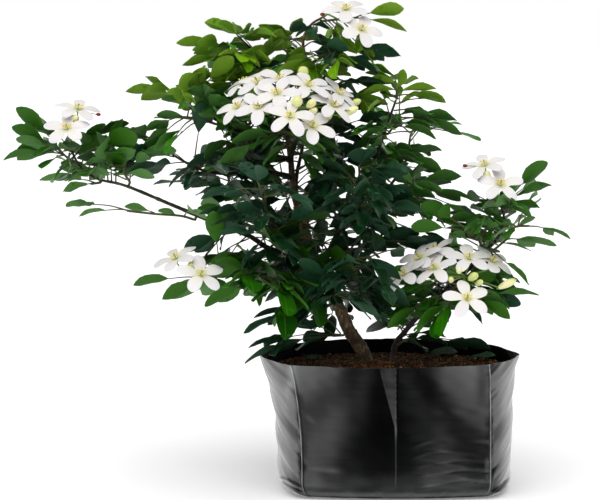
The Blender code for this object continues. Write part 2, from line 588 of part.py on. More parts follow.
def grow_spray(number, row, carriers, others):
    """Return one spray that grows from its carrier and clears the nodes made before it."""
    carrier, part, points, size, tone, leaves = row
    rng = random.Random(1000 + number)
    spray = Spray(f"leafy_spray_{number:02d}", tone)
    route = carriers[carrier]
    foot, heading, radius = route.at(part)
    first = seen(*points[0])
    if part >= 1.0:
        out = heading
        start = foot + out * GAP
    else:
        out = first - foot
        out = (out - heading * out.dot(heading)).normalized()
        start = foot + out * (radius + GAP)
    thick = min(1.4, radius)
    line = [start, start + out * 3.0] + [seen(*p) for p in points]
    taper = [thick + (TWIG_TIP - thick) * k / (len(line) - 1) for k in range(len(line))]
    spray.twig = Route([(*p, r) for p, r in zip(line, taper)], TWIG_STEP)
    spray.node.solids.append(tube(spray.twig.points, spray.twig.radii, 3))
    if isinstance(leaves, int):
        tips = rule_tips(rng, spray.twig.points[-1], heading, size, leaves)
        plan = [(1.0 - 0.12 * k, tip, 2 if k % 2 else 1, 8.0) for k, tip in enumerate(tips)]
    else:
        plan = [(leaf[0], seen(*leaf[1:4]), leaf[4], FRONT_TURN + leaf[5] * TURN_SHARE) for leaf in leaves]
    near = []
    for place, tip, count, turn in plan:
        base, _, _ = spray.twig.at(min(place, 0.97))
        leaf = place_leaf(rng, base, tip, count, size, turn, others, near)
        if leaf is None or not leaf.blades:
            spray.missed += count
            continue
        spray.missed += count - len(leaf.blades)
        spray.leaves.append(leaf)
        spray.node.solids.append(leaf.solid())
    spray.node.close()
    return spray


# Flower heads

class Flower:
    """One open flower: the foot of its petals, the way that it looks and its turn about that way."""

    def __init__(self, base, facing, turn):
        self.base = base
        self.facing = facing
        self.turn = turn
        self.lengths = []

    def petals(self):
        """Return the placing of each petal, its claw on the flower's rim."""
        side = self.facing.orthogonal().normalized()
        frames = []
        for k in range(5):
            out = Matrix.Rotation(self.turn + 2 * math.pi * k / 5, 3, self.facing) @ side
            frames.append(frame_along(self.base + out * HUB * 0.8, out, self.facing))
        return frames

    def petal_solid(self, k):
        """Return one petal alone, for the crossing tests."""
        frame = self.petals()[k]
        points = blade_points(frame, self.lengths[k], PETAL_WIDE, PETAL_PROFILE, petal_lift)
        return points, [(0, 1, 3), (1, 2, 3)]

    def solid(self, kept):
        """Return the kept petals joined round a small five-sided hub."""
        frames = self.petals()
        points = []
        for k in range(5):
            mid = (frames[k].to_3x3().col[0] + frames[k - 1].to_3x3().col[0]).normalized()
            points.append(self.base + mid * HUB)
        triangles = [(0, 1, 2), (0, 2, 3), (0, 3, 4)]
        for k in kept:
            triangles += blade_triangles(len(points), k, (k + 1) % 5, pointed=False)
            points += blade_points(frames[k], self.lengths[k], PETAL_WIDE, PETAL_PROFILE, petal_lift)
        return thicken(points, [self.facing] * len(points), triangles, PETAL_THICK)


def petal_lift(t):
    """Return how far a petal rises from its claw and then curls back, as a share of its length."""
    return 0.34 * t - 0.30 * t * t


def heading_vector(degrees, rise):
    angle = math.radians(degrees)
    return Vector((math.sin(angle), -math.cos(angle), rise)).normalized()


def grow_head(name, row, carriers):
    """Return a head's node with its flowers, buds and stalks for the finer model."""
    carrier, part, middle, flowers, buds = row
    rng = random.Random(name)
    node = Node(f"flower_head_{name}", "petal")
    foot, heading, radius = carriers[carrier].at(part)
    hub = seen(*middle)
    start = foot + heading * GAP
    peduncle = smooth([start, start + heading * 3.0, hub], 30.0)
    node.solids.append(tube(peduncle, [0.95] * len(peduncle), 4))
    knot = KNOT_LEAST + KNOT_EACH * (len(flowers) + len(buds))
    node.solids.append(bud(hub - SKY * knot, SKY, 2 * knot, 2 * knot))
    head = {"flowers": [], "buds": [], "stalks": [peduncle]}
    near = []
    for across, up, depth, turn in flowers:
        base = seen(across, up, depth)
        outward = (base - hub).normalized()
        facing = (heading_vector(turn, rng.uniform(*FLOWER_RISE)) + outward * FLOWER_SPREAD).normalized()
        bend = base - facing * 9.0
        stalk = [hub + (bend - hub).normalized() * knot * 0.6, bend, base]
        node.solids.append(tube(stalk, [0.9, 0.9, 1.0], 3))
        flower = Flower(base, facing, rng.uniform(0, 1.2))
        flower.lengths = [PETAL_LONG * rng.uniform(0.94, 1.06) for _ in range(5)]
        kept = [k for k in range(5) if not crosses(flower.petal_solid(k), near)]
        near += [Patch(*flower.petal_solid(k)) for k in kept]
        node.solids.append(flower.solid(kept))
        head["flowers"].append(flower)
        head["stalks"].append(stalk)
    for across, up, depth, length, width, turn in buds:
        aim = heading_vector(turn, 0.5)
        base = seen(across, up, depth) - aim * (length / 2)
        foot = base + aim * 1.5
        stalk = [hub + (foot - hub).normalized() * knot * 0.6, foot]
        node.solids.append(tube(stalk, [0.75, 0.75], 3))
        node.solids.append(bud(base, aim, length, width))
        head["buds"].append((base, aim, length, width))
        head["stalks"].append(stalk)
    node.close()
    return node, head


# Bag and soil

def bag_section(z, inset):
    """Return the bag's outline at a height: flat front and back panels, and gussets with a ridge."""
    share = max(0.0, min(1.0, z / BAG_RIM))
    foot = max(0.0, 1.0 - z / FOOT_ROUND)
    tuck = FOOT_INSET * (1.0 - math.sqrt(max(0.0, 1.0 - foot * foot)))
    flare = share ** 3
    half = (BODY_WIDTH / 2) * (1 - flare) + (MOUTH_WIDTH / 2) * flare - tuck
    depth = (BODY_DEPTH / 2) * (1 - flare) + (MOUTH_DEPTH / 2) * flare - tuck
    crease = CREASE_HALF + 5.0 * flare - tuck
    shift = -6.5 * flare
    face = depth - 8.0 - 22.0 * flare
    quarter = []
    for k in range(8):
        if k < 4:
            x = half - (half - crease) * (1 - math.cos(k * math.pi / 8)) * (1 - 0.55 * flare)
            x -= (half - crease) * 0.55 * flare * (k / 4)
            y = face * (math.sin(k * math.pi / 8) * (1 - flare * 0.6) + (k / 4) * flare * 0.6)
        else:
            x = crease * (1 - (k - 4) / 4)
            y = depth - (depth - face) * (x / crease) ** 2
        quarter.append((x, y))
    right_top = quarter
    top = (0.0, depth)
    left_top = [(-x, y) for x, y in reversed(quarter[1:])]
    left = (-half, 0.0)
    left_low = [(-x, -y) for x, y in quarter[1:]]
    low = (0.0, -depth)
    right_low = [(x, -y) for x, y in reversed(quarter[1:])]
    ring = right_top + [top] + left_top + [left] + left_low + [low] + right_low
    points = [Vector((x + shift, y, 0.0)) for x, y in ring]
    if inset == 0.0:
        return points
    moved = []
    for k, point in enumerate(points):
        a = (point - points[k - 1]).normalized()
        b = (points[(k + 1) % len(points)] - point).normalized()
        inward_a = Vector((-a.y, a.x, 0.0))
        inward_b = Vector((-b.y, b.x, 0.0))
        mid = (inward_a + inward_b).normalized()
        moved.append(point + mid * (inset / max(0.5, mid.dot(inward_a))))
    return moved


def ring_at(z, inset):
    """Return the outline at a height, tilted at the rim so that the back stands higher."""
    share = max(0.0, z / BAG_RIM) ** 4
    return [Vector((p.x, p.y, z + BAG_BACK_RISE * share * (p.y / MOUTH_DEPTH + 0.5))) for p in bag_section(z, inset)]


def band(low, high, count, faces_out=True):
    """Return the triangles between two rings, from the number of each one's first point."""
    faces = []
    for k in range(count):
        after = (k + 1) % count
        faces += [(low + k, low + after, high + after), (low + k, high + after, high + k)]
    return faces if faces_out else [face[::-1] for face in faces]


def skin(start, levels, count, faces_out=True):
    """Return the triangles of a wall of rings, each ring above the one before."""
    faces = []
    for level in range(levels - 1):
        low = start + level * count
        faces += band(low, low + count, count, faces_out)
    return faces


def fan(ring_start, count, centre, upward):
    """Return the triangles that close a ring with a middle point."""
    faces = []
    for k in range(count):
        a = ring_start + k
        b = ring_start + (k + 1) % count
        faces.append((a, b, centre) if upward else (b, a, centre))
    return faces


OUTER_HEIGHTS = [0.0, 4.0, 16.0, 75.0, 108.0, 133.0]
INNER_HEIGHTS = [1.2, 5.0, 16.2, 75.0, 108.0, 133.0]


def make_bag():
    """Return the bag: outer skin, rim, inner skin and flat base."""
    outer = [ring_at(z, 0.0) for z in OUTER_HEIGHTS]
    inner = [ring_at(z, BAG_WALL) for z in INNER_HEIGHTS]
    levels = len(outer)
    count = len(outer[0])
    verts = [p for ring in outer + inner for p in ring]
    faces = skin(0, levels, count)
    faces += skin(levels * count, levels, count, False)
    faces += band((levels - 1) * count, (2 * levels - 1) * count, count)
    foot = len(verts)
    verts.append(Vector((0.0, 0.0, OUTER_HEIGHTS[0])))
    verts.append(Vector((0.0, 0.0, INNER_HEIGHTS[0])))
    faces += fan(0, count, foot, False)
    faces += fan(levels * count, count, foot + 1, True)
    return verts, faces


def soil_point(x, y):
    """Return the soil's surface at a place: level at the wall, and highest round the stems."""
    far = math.hypot(x - MOUND_X, y - MOUND_Y) / MOUND_REACH
    return Vector((x, y, SOIL_LEVEL + SOIL_MOUND * math.exp(-far ** 2)))


def make_soil():
    """Return the soil: the bag's inside shape, with a mounded top."""
    rings = [ring_at(z, BAG_WALL + SOIL_CLEAR) for z in INNER_HEIGHTS]
    rings[0] = [p + SKY * GAP for p in rings[0]]
    top = [low.lerp(high, (SOIL_LEVEL - low.z) / (high.z - low.z)) for low, high in zip(rings[-2], rings[-1])]
    rings[-1] = top
    rings.append([soil_point(p.x * SOIL_RING, p.y * SOIL_RING) for p in top])
    verts = [p for ring in rings for p in ring]
    count = len(top)
    faces = skin(0, len(rings), count)
    foot = len(verts)
    verts.append(Vector((0.0, 0.0, INNER_HEIGHTS[0] + GAP)))
    verts.append(soil_point(0.0, 0.0))
    faces += fan(0, count, foot, False)
    faces += fan((len(rings) - 1) * count, count, foot + 1, True)
    return verts, faces


# Writing the objects

FINISHES = {
    "film": (0.012, 0.013, 0.012, 0.28),
    "soil": (0.060, 0.030, 0.015, 0.95),
    "bark": (0.105, 0.073, 0.045, 0.85),
    "dark_bark": (0.045, 0.025, 0.030, 0.75),
    "young": (0.115, 0.240, 0.025, 0.42),
    "bright": (0.060, 0.220, 0.015, 0.38),
    "mid": (0.040, 0.140, 0.018, 0.40),
    "deep": (0.014, 0.062, 0.030, 0.42),
    "petal": (0.90, 0.89, 0.88, 0.55),
}


def make_material(name, finish):
    red, green, blue, roughness = FINISHES[finish]
    material = bpy.data.materials.new(name)
    material.use_nodes = True
    shader = material.node_tree.nodes["Principled BSDF"]
    shader.inputs["Base Color"].default_value = (red, green, blue, 1.0)
    shader.inputs["Roughness"].default_value = roughness
    shader.inputs["Metallic"].default_value = 0.0
    return material


def join_level_faces(mesh):
    """Turn neighbouring faces that lie level into one, so that a union cuts fewer of them."""
    work = bmesh.new()
    work.from_mesh(mesh)
    bmesh.ops.dissolve_limit(work, angle_limit=LEVEL_ANGLE, verts=work.verts, edges=work.edges)
    work.to_mesh(mesh)
    work.free()


def make_mesh(name, solid, level=False):
    mesh = bpy.data.meshes.new(name)
    mesh.from_pydata([p * MM for p in solid[0]], [], solid[1])
    mesh.validate()
    if level:
        join_level_faces(mesh)
    return mesh


def make_object(name, solid, finish, level=False):
    thing = bpy.data.objects.new(name, make_mesh(name, solid, level))
    bpy.context.scene.collection.objects.link(thing)
    thing.data.materials.append(make_material(name, finish))
    return thing


def boolean(thing, operation, operand, solver="EXACT"):
    """Apply one Boolean with a collection or an object."""
    cut = thing.modifiers.new("join", "BOOLEAN")
    cut.operation = operation
    cut.solver = solver
    if isinstance(operand, bpy.types.Collection):
        cut.operand_type = "COLLECTION"
        cut.collection = operand
    else:
        cut.object = operand
    bpy.context.view_layer.update()
    depsgraph = bpy.context.evaluated_depsgraph_get()
    result = bpy.data.meshes.new_from_object(thing.evaluated_get(depsgraph))
    thing.modifiers.clear()
    old = thing.data
    thing.data = result
    bpy.data.meshes.remove(old)


def remove(things):
    for thing in list(things):
        mesh = thing.data
        bpy.data.objects.remove(thing)
        bpy.data.meshes.remove(mesh)


def fuse(node, solver="EXACT"):
    """Write a node as one object: its first solid joined with all its others.

    Thin blades that meet a slim twig leave open edges with the exact solver, and a dense head is slow
    with it, so sprays and heads are joined with the manifold one.
    """
    thing = make_object(node.name, node.solids[0], node.finish, level=True)
    group = bpy.data.collections.new(node.name + "_parts")
    bpy.context.scene.collection.children.link(group)
    for k, solid in enumerate(node.solids[1:]):
        part = bpy.data.objects.new(f"{node.name}_part_{k}", make_mesh("part", solid, level=True))
        group.objects.link(part)
    boolean(thing, "UNION", group, solver)
    remove(group.objects)
    bpy.data.collections.remove(group)
    join_level_faces(thing.data)
    return thing


def finish_round(thing):
    thing.data.shade_smooth()
    thing.data.set_sharp_from_angle(angle=math.radians(40))


def woody(name, finish, main, branches, sides):
    """Return a stem's node and the routes that its sprays and heads grow from."""
    node = Node(name, finish)
    carriers = {name: Route([(*seen(*p[:3]), p[3]) for p in main], STEM_STEP)}
    node.solids.append(tube(carriers[name].points, carriers[name].radii, sides))
    for branch, points in branches.items():
        carriers[branch] = Route([(*seen(*p[:3]), p[3]) for p in points], BRANCH_STEP)
        node.solids.append(tube(carriers[branch].points, carriers[branch].radii, 4))
    node.close()
    return node, carriers


def plan_shrub():
    """Work out every piece of the shrub; nothing is written to the scene yet."""
    trunk, carriers = woody("trunk", "bark", TRUNK_ROUTE, BRANCH_ROUTES, 8)
    second, more = woody("second_stem", "dark_bark", SECOND_STEM_ROUTE, SHOOT_ROUTES, 6)
    carriers.update(more)
    bag = Node("grow_bag", "film")
    bag.solids.append(make_bag())
    bag.close()
    soil = Node("potting_soil", "soil")
    soil.solids.append(make_soil())
    soil.close()
    fixed = [bag, soil, trunk, second]
    heads = {}
    for name, row in HEADS.items():
        heads[name] = grow_head(name, row, carriers)
    placed = fixed + [node for node, _ in heads.values()]
    sprays = []
    for number, row in enumerate(SPRAYS, 1):
        spray = grow_spray(number, row, carriers, placed)
        sprays.append(spray)
        placed.append(spray.node)
    return {"bag": bag, "soil": soil, "trunk": trunk, "second": second, "heads": heads, "sprays": sprays,
            "carriers": carriers}


def stem_hole(thing, route, sides):
    """Cut the plain hole in which a stem stands, a little wider than the stem."""
    points = [p.copy() for p, r in zip(route.points, route.radii) if p.z < SOIL_LEVEL + 24.0]
    points[0] = points[0] - (points[1] - points[0]).normalized() * GAP
    radii = [r + GAP / math.cos(math.pi / sides) for r in route.radii[:len(points)]]
    cutter = make_object("cutter", tube(points, radii, sides), "soil")
    cutter.hide_render = True
    cutter.display_type = "WIRE"
    boolean(thing, "DIFFERENCE", cutter)
    remove([cutter])


def main():
    for thing in list(bpy.data.objects):
        bpy.data.objects.remove(thing)
    plan = plan_shrub()
    finish_round(make_object("grow_bag", plan["bag"].solids[0], "film"))
    soil = make_object("potting_soil", plan["soil"].solids[0], "soil")
    stem_hole(soil, plan["carriers"]["trunk"], 8)
    stem_hole(soil, plan["carriers"]["second_stem"], 6)
    finish_round(fuse(plan["trunk"]))
    finish_round(fuse(plan["second"]))
    for node, _ in plan["heads"].values():
        fuse(node, "MANIFOLD")
    for spray in plan["sprays"]:
        fuse(spray.node, "MANIFOLD")
    return plan


main()
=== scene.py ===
# %% [markdown]
# # A potted orange jasmine
# The real plant is a young shrub of orange jasmine: brown stems, glossy leaves made of several leaflets,
# and white flowers in bunches, rooted in a nursery bag of black film. The solids that carry it are loaded
# first. Every finer piece below is worked out in the same millimetres, from the same places and sizes, so
# it stands where its solid stands.

# %% Load the frame
import math
import random
from dataclasses import dataclass
from functools import partial
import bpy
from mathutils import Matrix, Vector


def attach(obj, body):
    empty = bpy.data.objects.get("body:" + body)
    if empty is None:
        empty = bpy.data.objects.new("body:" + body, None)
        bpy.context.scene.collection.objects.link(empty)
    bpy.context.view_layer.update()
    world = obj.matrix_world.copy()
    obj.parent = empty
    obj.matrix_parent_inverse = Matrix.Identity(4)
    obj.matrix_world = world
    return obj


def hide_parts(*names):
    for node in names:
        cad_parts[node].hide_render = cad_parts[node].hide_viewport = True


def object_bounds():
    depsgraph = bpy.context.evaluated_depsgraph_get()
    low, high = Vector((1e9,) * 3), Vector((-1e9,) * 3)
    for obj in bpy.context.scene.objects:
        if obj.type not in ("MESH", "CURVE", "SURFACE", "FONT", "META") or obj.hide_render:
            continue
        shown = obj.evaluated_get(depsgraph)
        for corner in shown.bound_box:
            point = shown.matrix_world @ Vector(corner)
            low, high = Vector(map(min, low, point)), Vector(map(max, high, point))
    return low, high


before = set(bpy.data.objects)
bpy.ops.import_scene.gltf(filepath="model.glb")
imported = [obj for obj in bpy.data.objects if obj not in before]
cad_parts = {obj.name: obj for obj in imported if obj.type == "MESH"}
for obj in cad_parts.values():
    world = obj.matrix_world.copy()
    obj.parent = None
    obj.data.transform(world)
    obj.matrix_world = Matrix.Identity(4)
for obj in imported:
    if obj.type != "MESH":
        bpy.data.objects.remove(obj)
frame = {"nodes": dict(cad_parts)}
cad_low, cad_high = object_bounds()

from types import SimpleNamespace

import bpy
import numpy as np
from mathutils import Matrix, Vector, noise
from mathutils.bvhtree import BVHTree

MM = 0.001  # one millimetre in metres
print("solids:", len(frame["nodes"]), "size in mm:", [round(v / MM) for v in cad_high - cad_low])

# %% [markdown]
# ## The camera and the leaning plane
# The photograph looks at the plant from the front and a little from above, so a camera 3 m away with a
# 180 mm lens gives the same flat view: one millimetre of the plant is one pixel. Places are written as
# (across, up, depth): where a point shows on a plane that leans back with the view, and how far in front
# of or behind the bag's middle it lies.

# %% The view
LEAN = math.radians(7.5)  # how far the camera looks down
EYE_AWAY = 3000.0
EYE_AIM = Vector((-95.0, 0.0, 240.0))
AIM_UP = 237.9  # height of the aim on the leaning plane
ACROSS = Vector((1.0, 0.0, 0.0))
UPWARD = Vector((0.0, math.sin(LEAN), math.cos(LEAN)))
EYE = EYE_AIM + EYE_AWAY * Vector((0.0, -math.cos(LEAN), math.sin(LEAN)))
LENS = 180.0
SENSOR = 36.0


def seen(across, up, depth):
    """Return the point that shows at (across, up) from the front and lies at y = depth."""
    on_plane = EYE_AIM + ACROSS * (across - EYE_AIM.x) + UPWARD * (up - AIM_UP)
    reach = (depth - EYE.y) / (on_plane.y - EYE.y)
    return EYE + (on_plane - EYE) * reach


eye = bpy.data.cameras.new("front_view")
eye.lens = LENS
eye.sensor_width = SENSOR
eye.clip_start = 0.05
eye.clip_end = 60.0
camera = bpy.data.objects.new("front_view", eye)
bpy.context.scene.collection.objects.link(camera)
camera.location = EYE * MM
camera.rotation_euler = (EYE_AIM - EYE).to_track_quat("-Z", "Y").to_euler()
bpy.context.scene.camera = camera
print("camera at", [round(v, 3) for v in camera.location])

# %% [markdown]
# ## Stems as routes
# A woody stem is a line with a thickness at each point. The points are read from the front view, and a
# smooth curve runs through them. The same routes carry the solids, so the fine stems cover them exactly.

# %% Route of the trunk
# Each point is (across, up, depth, radius); the trunk starts inside the soil
TRUNK_ROUTE = [
    (-27, 82, 15, 7.0), (-29, 128, 15, 7.0), (-46, 158, 10, 6.4), (-58, 185, 6, 5.8), (-74, 212, 4, 5.3),
    (-89, 254, 2, 4.8), (-101, 298, 4, 3.5), (-105, 335, 10, 2.9), (-113, 400, 18, 1.9), (-106, 438, 14, 1.3),
]
print("the trunk thins from", 2 * TRUNK_ROUTE[0][3], "to", 2 * TRUNK_ROUTE[-1][3])

# %% Routes of the branches
# Each starts inside the stem that carries it
BRANCH_ROUTES = {
    "right_fork": [
        (-91, 266, 2, 3.6), (-78, 290, -1, 2.9), (-67, 318, -2, 2.5), (-62, 345, 0, 2.3), (-68, 378, 5, 2.0),
        (-82, 412, 4, 1.7), (-92, 443, -4, 1.5), (-85, 462, -12, 1.3), (-70, 472, -18, 1.1),
    ],
    "right_light": [
        (-73, 214, 4, 3.1), (-66, 236, 0, 2.8), (-54, 260, -3, 2.6), (-37, 284, -7, 2.3), (-27, 305, -8, 2.0),
        (-13, 348, -4, 1.5), (1, 388, -4, 1.1),
    ],
    "left_long": [
        (-83, 231, 3, 3.2), (-102, 233, -4, 2.9), (-127, 240, -12, 2.6), (-146, 252, -18, 2.4),
        (-175, 263, -24, 2.2), (-223, 283, -32, 1.8), (-269, 302, -36, 1.5), (-297, 309, -38, 1.3),
        (-314, 320, -40, 1.2), (-324, 338, -42, 1.1),
    ],
    "left_mid": [
        (-103, 310, 5, 2.2), (-135, 317, 0, 1.9), (-165, 314, -6, 1.6), (-190, 317, -12, 1.4),
        (-212, 327, -16, 1.2), (-229, 338, -18, 1.1),
    ],
    "left_upper": [
        (-105, 328, 9, 2.4), (-124, 334, 2, 2.1), (-140, 346, -4, 1.9), (-160, 357, -10, 1.7),
        (-187, 373, -16, 1.5), (-203, 381, -20, 1.3), (-214, 388, -24, 1.1),
    ],
    "left_low": [
        (-73, 209, 5, 2.6), (-96, 211, -10, 2.2), (-125, 213, -30, 1.9), (-152, 216, -46, 1.6),
        (-178, 220, -56, 1.2),
    ],
    "front_top": [
        (-105, 328, 9, 2.4), (-101, 340, -14, 2.0), (-97, 352, -36, 1.8), (-100, 366, -56, 1.5),
    ],
    "top_left": [
        (-112, 392, 18, 1.9), (-124, 415, 10, 1.6), (-138, 433, 2, 1.4), (-150, 445, -4, 1.1),
    ],
    "back_left": [
        (-88, 250, 2, 2.6), (-110, 262, 40, 2.2), (-135, 285, 75, 1.8), (-155, 320, 100, 1.4),
        (-160, 350, 112, 1.1),
    ],
    "back_right": [
        (-58, 253, -3, 2.2), (-42, 268, 30, 2.0), (-15, 290, 62, 1.6), (10, 325, 85, 1.3),
        (15, 350, 92, 1.1),
    ],
    "back_mid": [
        (-100, 296, 4, 2.4), (-98, 315, 40, 2.0), (-92, 345, 75, 1.6), (-90, 385, 96, 1.3),
        (-95, 405, 102, 1.1),
    ],
    "back_low": [
        (-59, 188, 6, 2.3), (-62, 200, 40, 1.9), (-70, 215, 80, 1.5), (-80, 232, 106, 1.2),
    ],
    "front_low": [
        (-61, 190, 5, 2.4), (-55, 200, -30, 2.0), (-42, 212, -62, 1.6), (-32, 224, -84, 1.2),
    ],
    "front_mid": [
        (-50, 266, -4, 2.1), (-46, 275, -35, 1.7), (-40, 292, -66, 1.4), (-36, 312, -88, 1.1),
    ],
    "front_left": [
        (-102, 233, -4, 2.1), (-112, 250, -34, 1.7), (-126, 272, -66, 1.4), (-133, 294, -86, 1.1),
    ],
}
print("branches of the trunk:", len(BRANCH_ROUTES))

# %% Routes of the second stem
SECOND_STEM_ROUTE = [
    (-3, 82, 12, 2.9), (-2, 128, 12, 2.9), (1, 145, 10, 2.7), (9, 155, 6, 2.6), (19, 167, 0, 2.5),
    (35, 183, -6, 2.3), (50, 197, -10, 2.2), (60, 206, -14, 2.1), (73, 218, -20, 2.0), (85, 233, -28, 1.8),
    (98, 244, -34, 1.6), (106, 256, -36, 1.4), (109, 270, -34, 1.2), (106, 282, -32, 1.1),
]
SHOOT_ROUTES = {
    "shoot_head": [(35, 183, -6, 1.9), (46, 188, -30, 1.6), (58, 196, -44, 1.3), (66, 204, -52, 1.1)],
    "shoot_back": [(9, 155, 6, 2.1), (22, 172, 40, 1.7), (38, 192, 70, 1.4), (50, 214, 88, 1.1)],
}
print("side shoots of the second stem:", len(SHOOT_ROUTES))

# %% [markdown]
# ## Curves through the points
# A living stem bends without corners. A curve object with handles could do this, but the handles would have
# to be set one by one. The curve used here passes through its points by itself, in a few lines of code.

# %% Smooth curves
STEM_STEP = 40.0  # about the length of the straight pieces that the solids' stems are made of
BRANCH_STEP = 46.0


def smooth(points, step):
    """Return points about step apart on one smooth curve through all the given points.

    Between two points the curve is a cubic, and its slope at each is half the way from the point before
    to the point after.
    """
    ends = [points[0] * 2 - points[1]] + list(points) + [points[-1] * 2 - points[-2]]
    curve = []
    for before, start, stop, after in zip(ends, ends[1:], ends[2:], ends[3:]):
        count = max(1, round((stop.to_3d() - start.to_3d()).length / step))
        for k in range(count):
            t = k / count
            curve.append(0.5 * ((2 * start) + (stop - before) * t
                                + (2 * before - 5 * start + 4 * stop - after) * t * t
                                + (3 * start - before - 3 * stop + after) * t ** 3))
    curve.append(points[-1].copy())
    return curve


class Route:
    """A smooth woody or green line with a radius at each point."""

    def __init__(self, points, step):
        curve = smooth([Vector((*p[:3], p[3])) for p in points], step)
        self.points = [Vector(p[:3]) for p in curve]
        self.radii = [p[3] for p in curve]
        self.along = [0.0]
        for a, b in zip(self.points, self.points[1:]):
            self.along.append(self.along[-1] + (b - a).length)

    def at(self, part):
        """Return the point, the direction and the radius at a part of the length from 0 to 1."""
        goal = part * self.along[-1]
        k = next((i for i in range(1, len(self.along) - 1) if self.along[i] >= goal), len(self.along) - 1)
        span = self.along[k] - self.along[k - 1]
        t = (goal - self.along[k - 1]) / span
        point = self.points[k - 1].lerp(self.points[k], t)
        radius = self.radii[k - 1] + (self.radii[k] - self.radii[k - 1]) * t
        return point, (self.points[k] - self.points[k - 1]).normalized(), radius


def placed_route(rows, step):
    """Return the route of a stem from its rows of (across, up, depth, radius)."""
    return Route([(*seen(*row[:3]), row[3]) for row in rows], step)


carriers = {"trunk": placed_route(TRUNK_ROUTE, STEM_STEP)}
carriers.update({name: placed_route(rows, BRANCH_STEP) for name, rows in BRANCH_ROUTES.items()})
carriers["second_stem"] = placed_route(SECOND_STEM_ROUTE, STEM_STEP)
carriers.update({name: placed_route(rows, BRANCH_STEP) for name, rows in SHOOT_ROUTES.items()})
print("length of the trunk:", round(carriers["trunk"].along[-1]))

# %% [markdown]
# ## Where each leafy spray grows
# Each row names the stem that carries the spray, its twig and its leaves with their tips. A compound leaf
# could be placed by a random rule alone, but the photograph shows where the big ones are, so the front ones
# are read from it and only the hidden back ones follow a rule.

# %% Sprays of the upper crown
# A spray is (stem, part of its length, points of the twig, size of a leaflet, tone, leaves), and a leaf is
# (part of the twig, across, up and depth of its tip, number of leaflets, turn towards the viewer)
SPRAYS = [
    ("top_left", 1.0, [(-157, 452, -8)], 36, "young",
     [(1.0, -174, 471, -16, 3, 12), (0.7, -119, 463, 4, 2, 25), (0.4, -166, 449, -20, 1, 60)]),
    ("top_left", 0.45, [(-148, 430, -8), (-165, 437, -16)], 38, "young",
     [(1.0, -217, 454, -28, 3, 25), (0.6, -213, 430, -34, 2, 10), (0.5, -188, 443, 12, 1, 20)]),
    ("left_upper", 1.0, [(-223, 394, -27)], 38, "young",
     [(1.0, -268, 406, -32, 3, 15), (0.7, -246, 416, -20, 1, 30), (0.5, -203, 418, -34, 1, 55)]),
    ("left_upper", 0.66, [(-196, 369, -26), (-214, 371, -30)], 24, "mid",
     [(1.0, -252, 361, -34, 2, 30), (0.8, -238, 377, -30, 1, 50)]),
    ("left_upper", 0.40, [(-152, 372, -4), (-165, 388, -4)], 36, "mid",
     [(1.0, -196, 404, 10, 3, 20), (0.7, -188, 386, -20, 2, 15)]),
    ("trunk", 1.0, [(-106, 450, 16)], 36, "young",
     [(1.0, -95, 473, 6, 1, 15), (0.9, -134, 467, 14, 2, 20), (0.6, -76, 458, 34, 1, 25),
      (0.5, -120, 458, 84, 1, 0)]),
    ("right_fork", 0.74, [(-66, 434, -14), (-48, 438, -22)], 38, "deep",
     [(1.0, 6, 443, -30, 3, 15), (0.6, -12, 421, -34, 2, 20)]),
    ("right_fork", 0.55, [(-56, 404, -6), (-44, 408, -14)], 36, "deep",
     [(1.0, -10, 412, -24, 2, 10), (0.6, -32, 401, -46, 1, 40)]),
    ("right_fork", 0.97, [(-62, 468, -8), (-40, 470, -10)], 34, "young",
     [(1.0, 8, 485, -16, 1, 45), (0.9, 14, 465, -22, 1, 30), (0.5, -56, 450, 18, 1, 20)]),
    ("right_light", 1.0, [(3, 398, -5)], 36, "young",
     [(1.0, 10, 420, -12, 1, 70), (0.9, -33, 407, -12, 1, 15), (0.8, 40, 407, -8, 1, 30),
      (0.4, 52, 397, 6, 1, 20)]),
]
print("sprays so far:", len(SPRAYS))

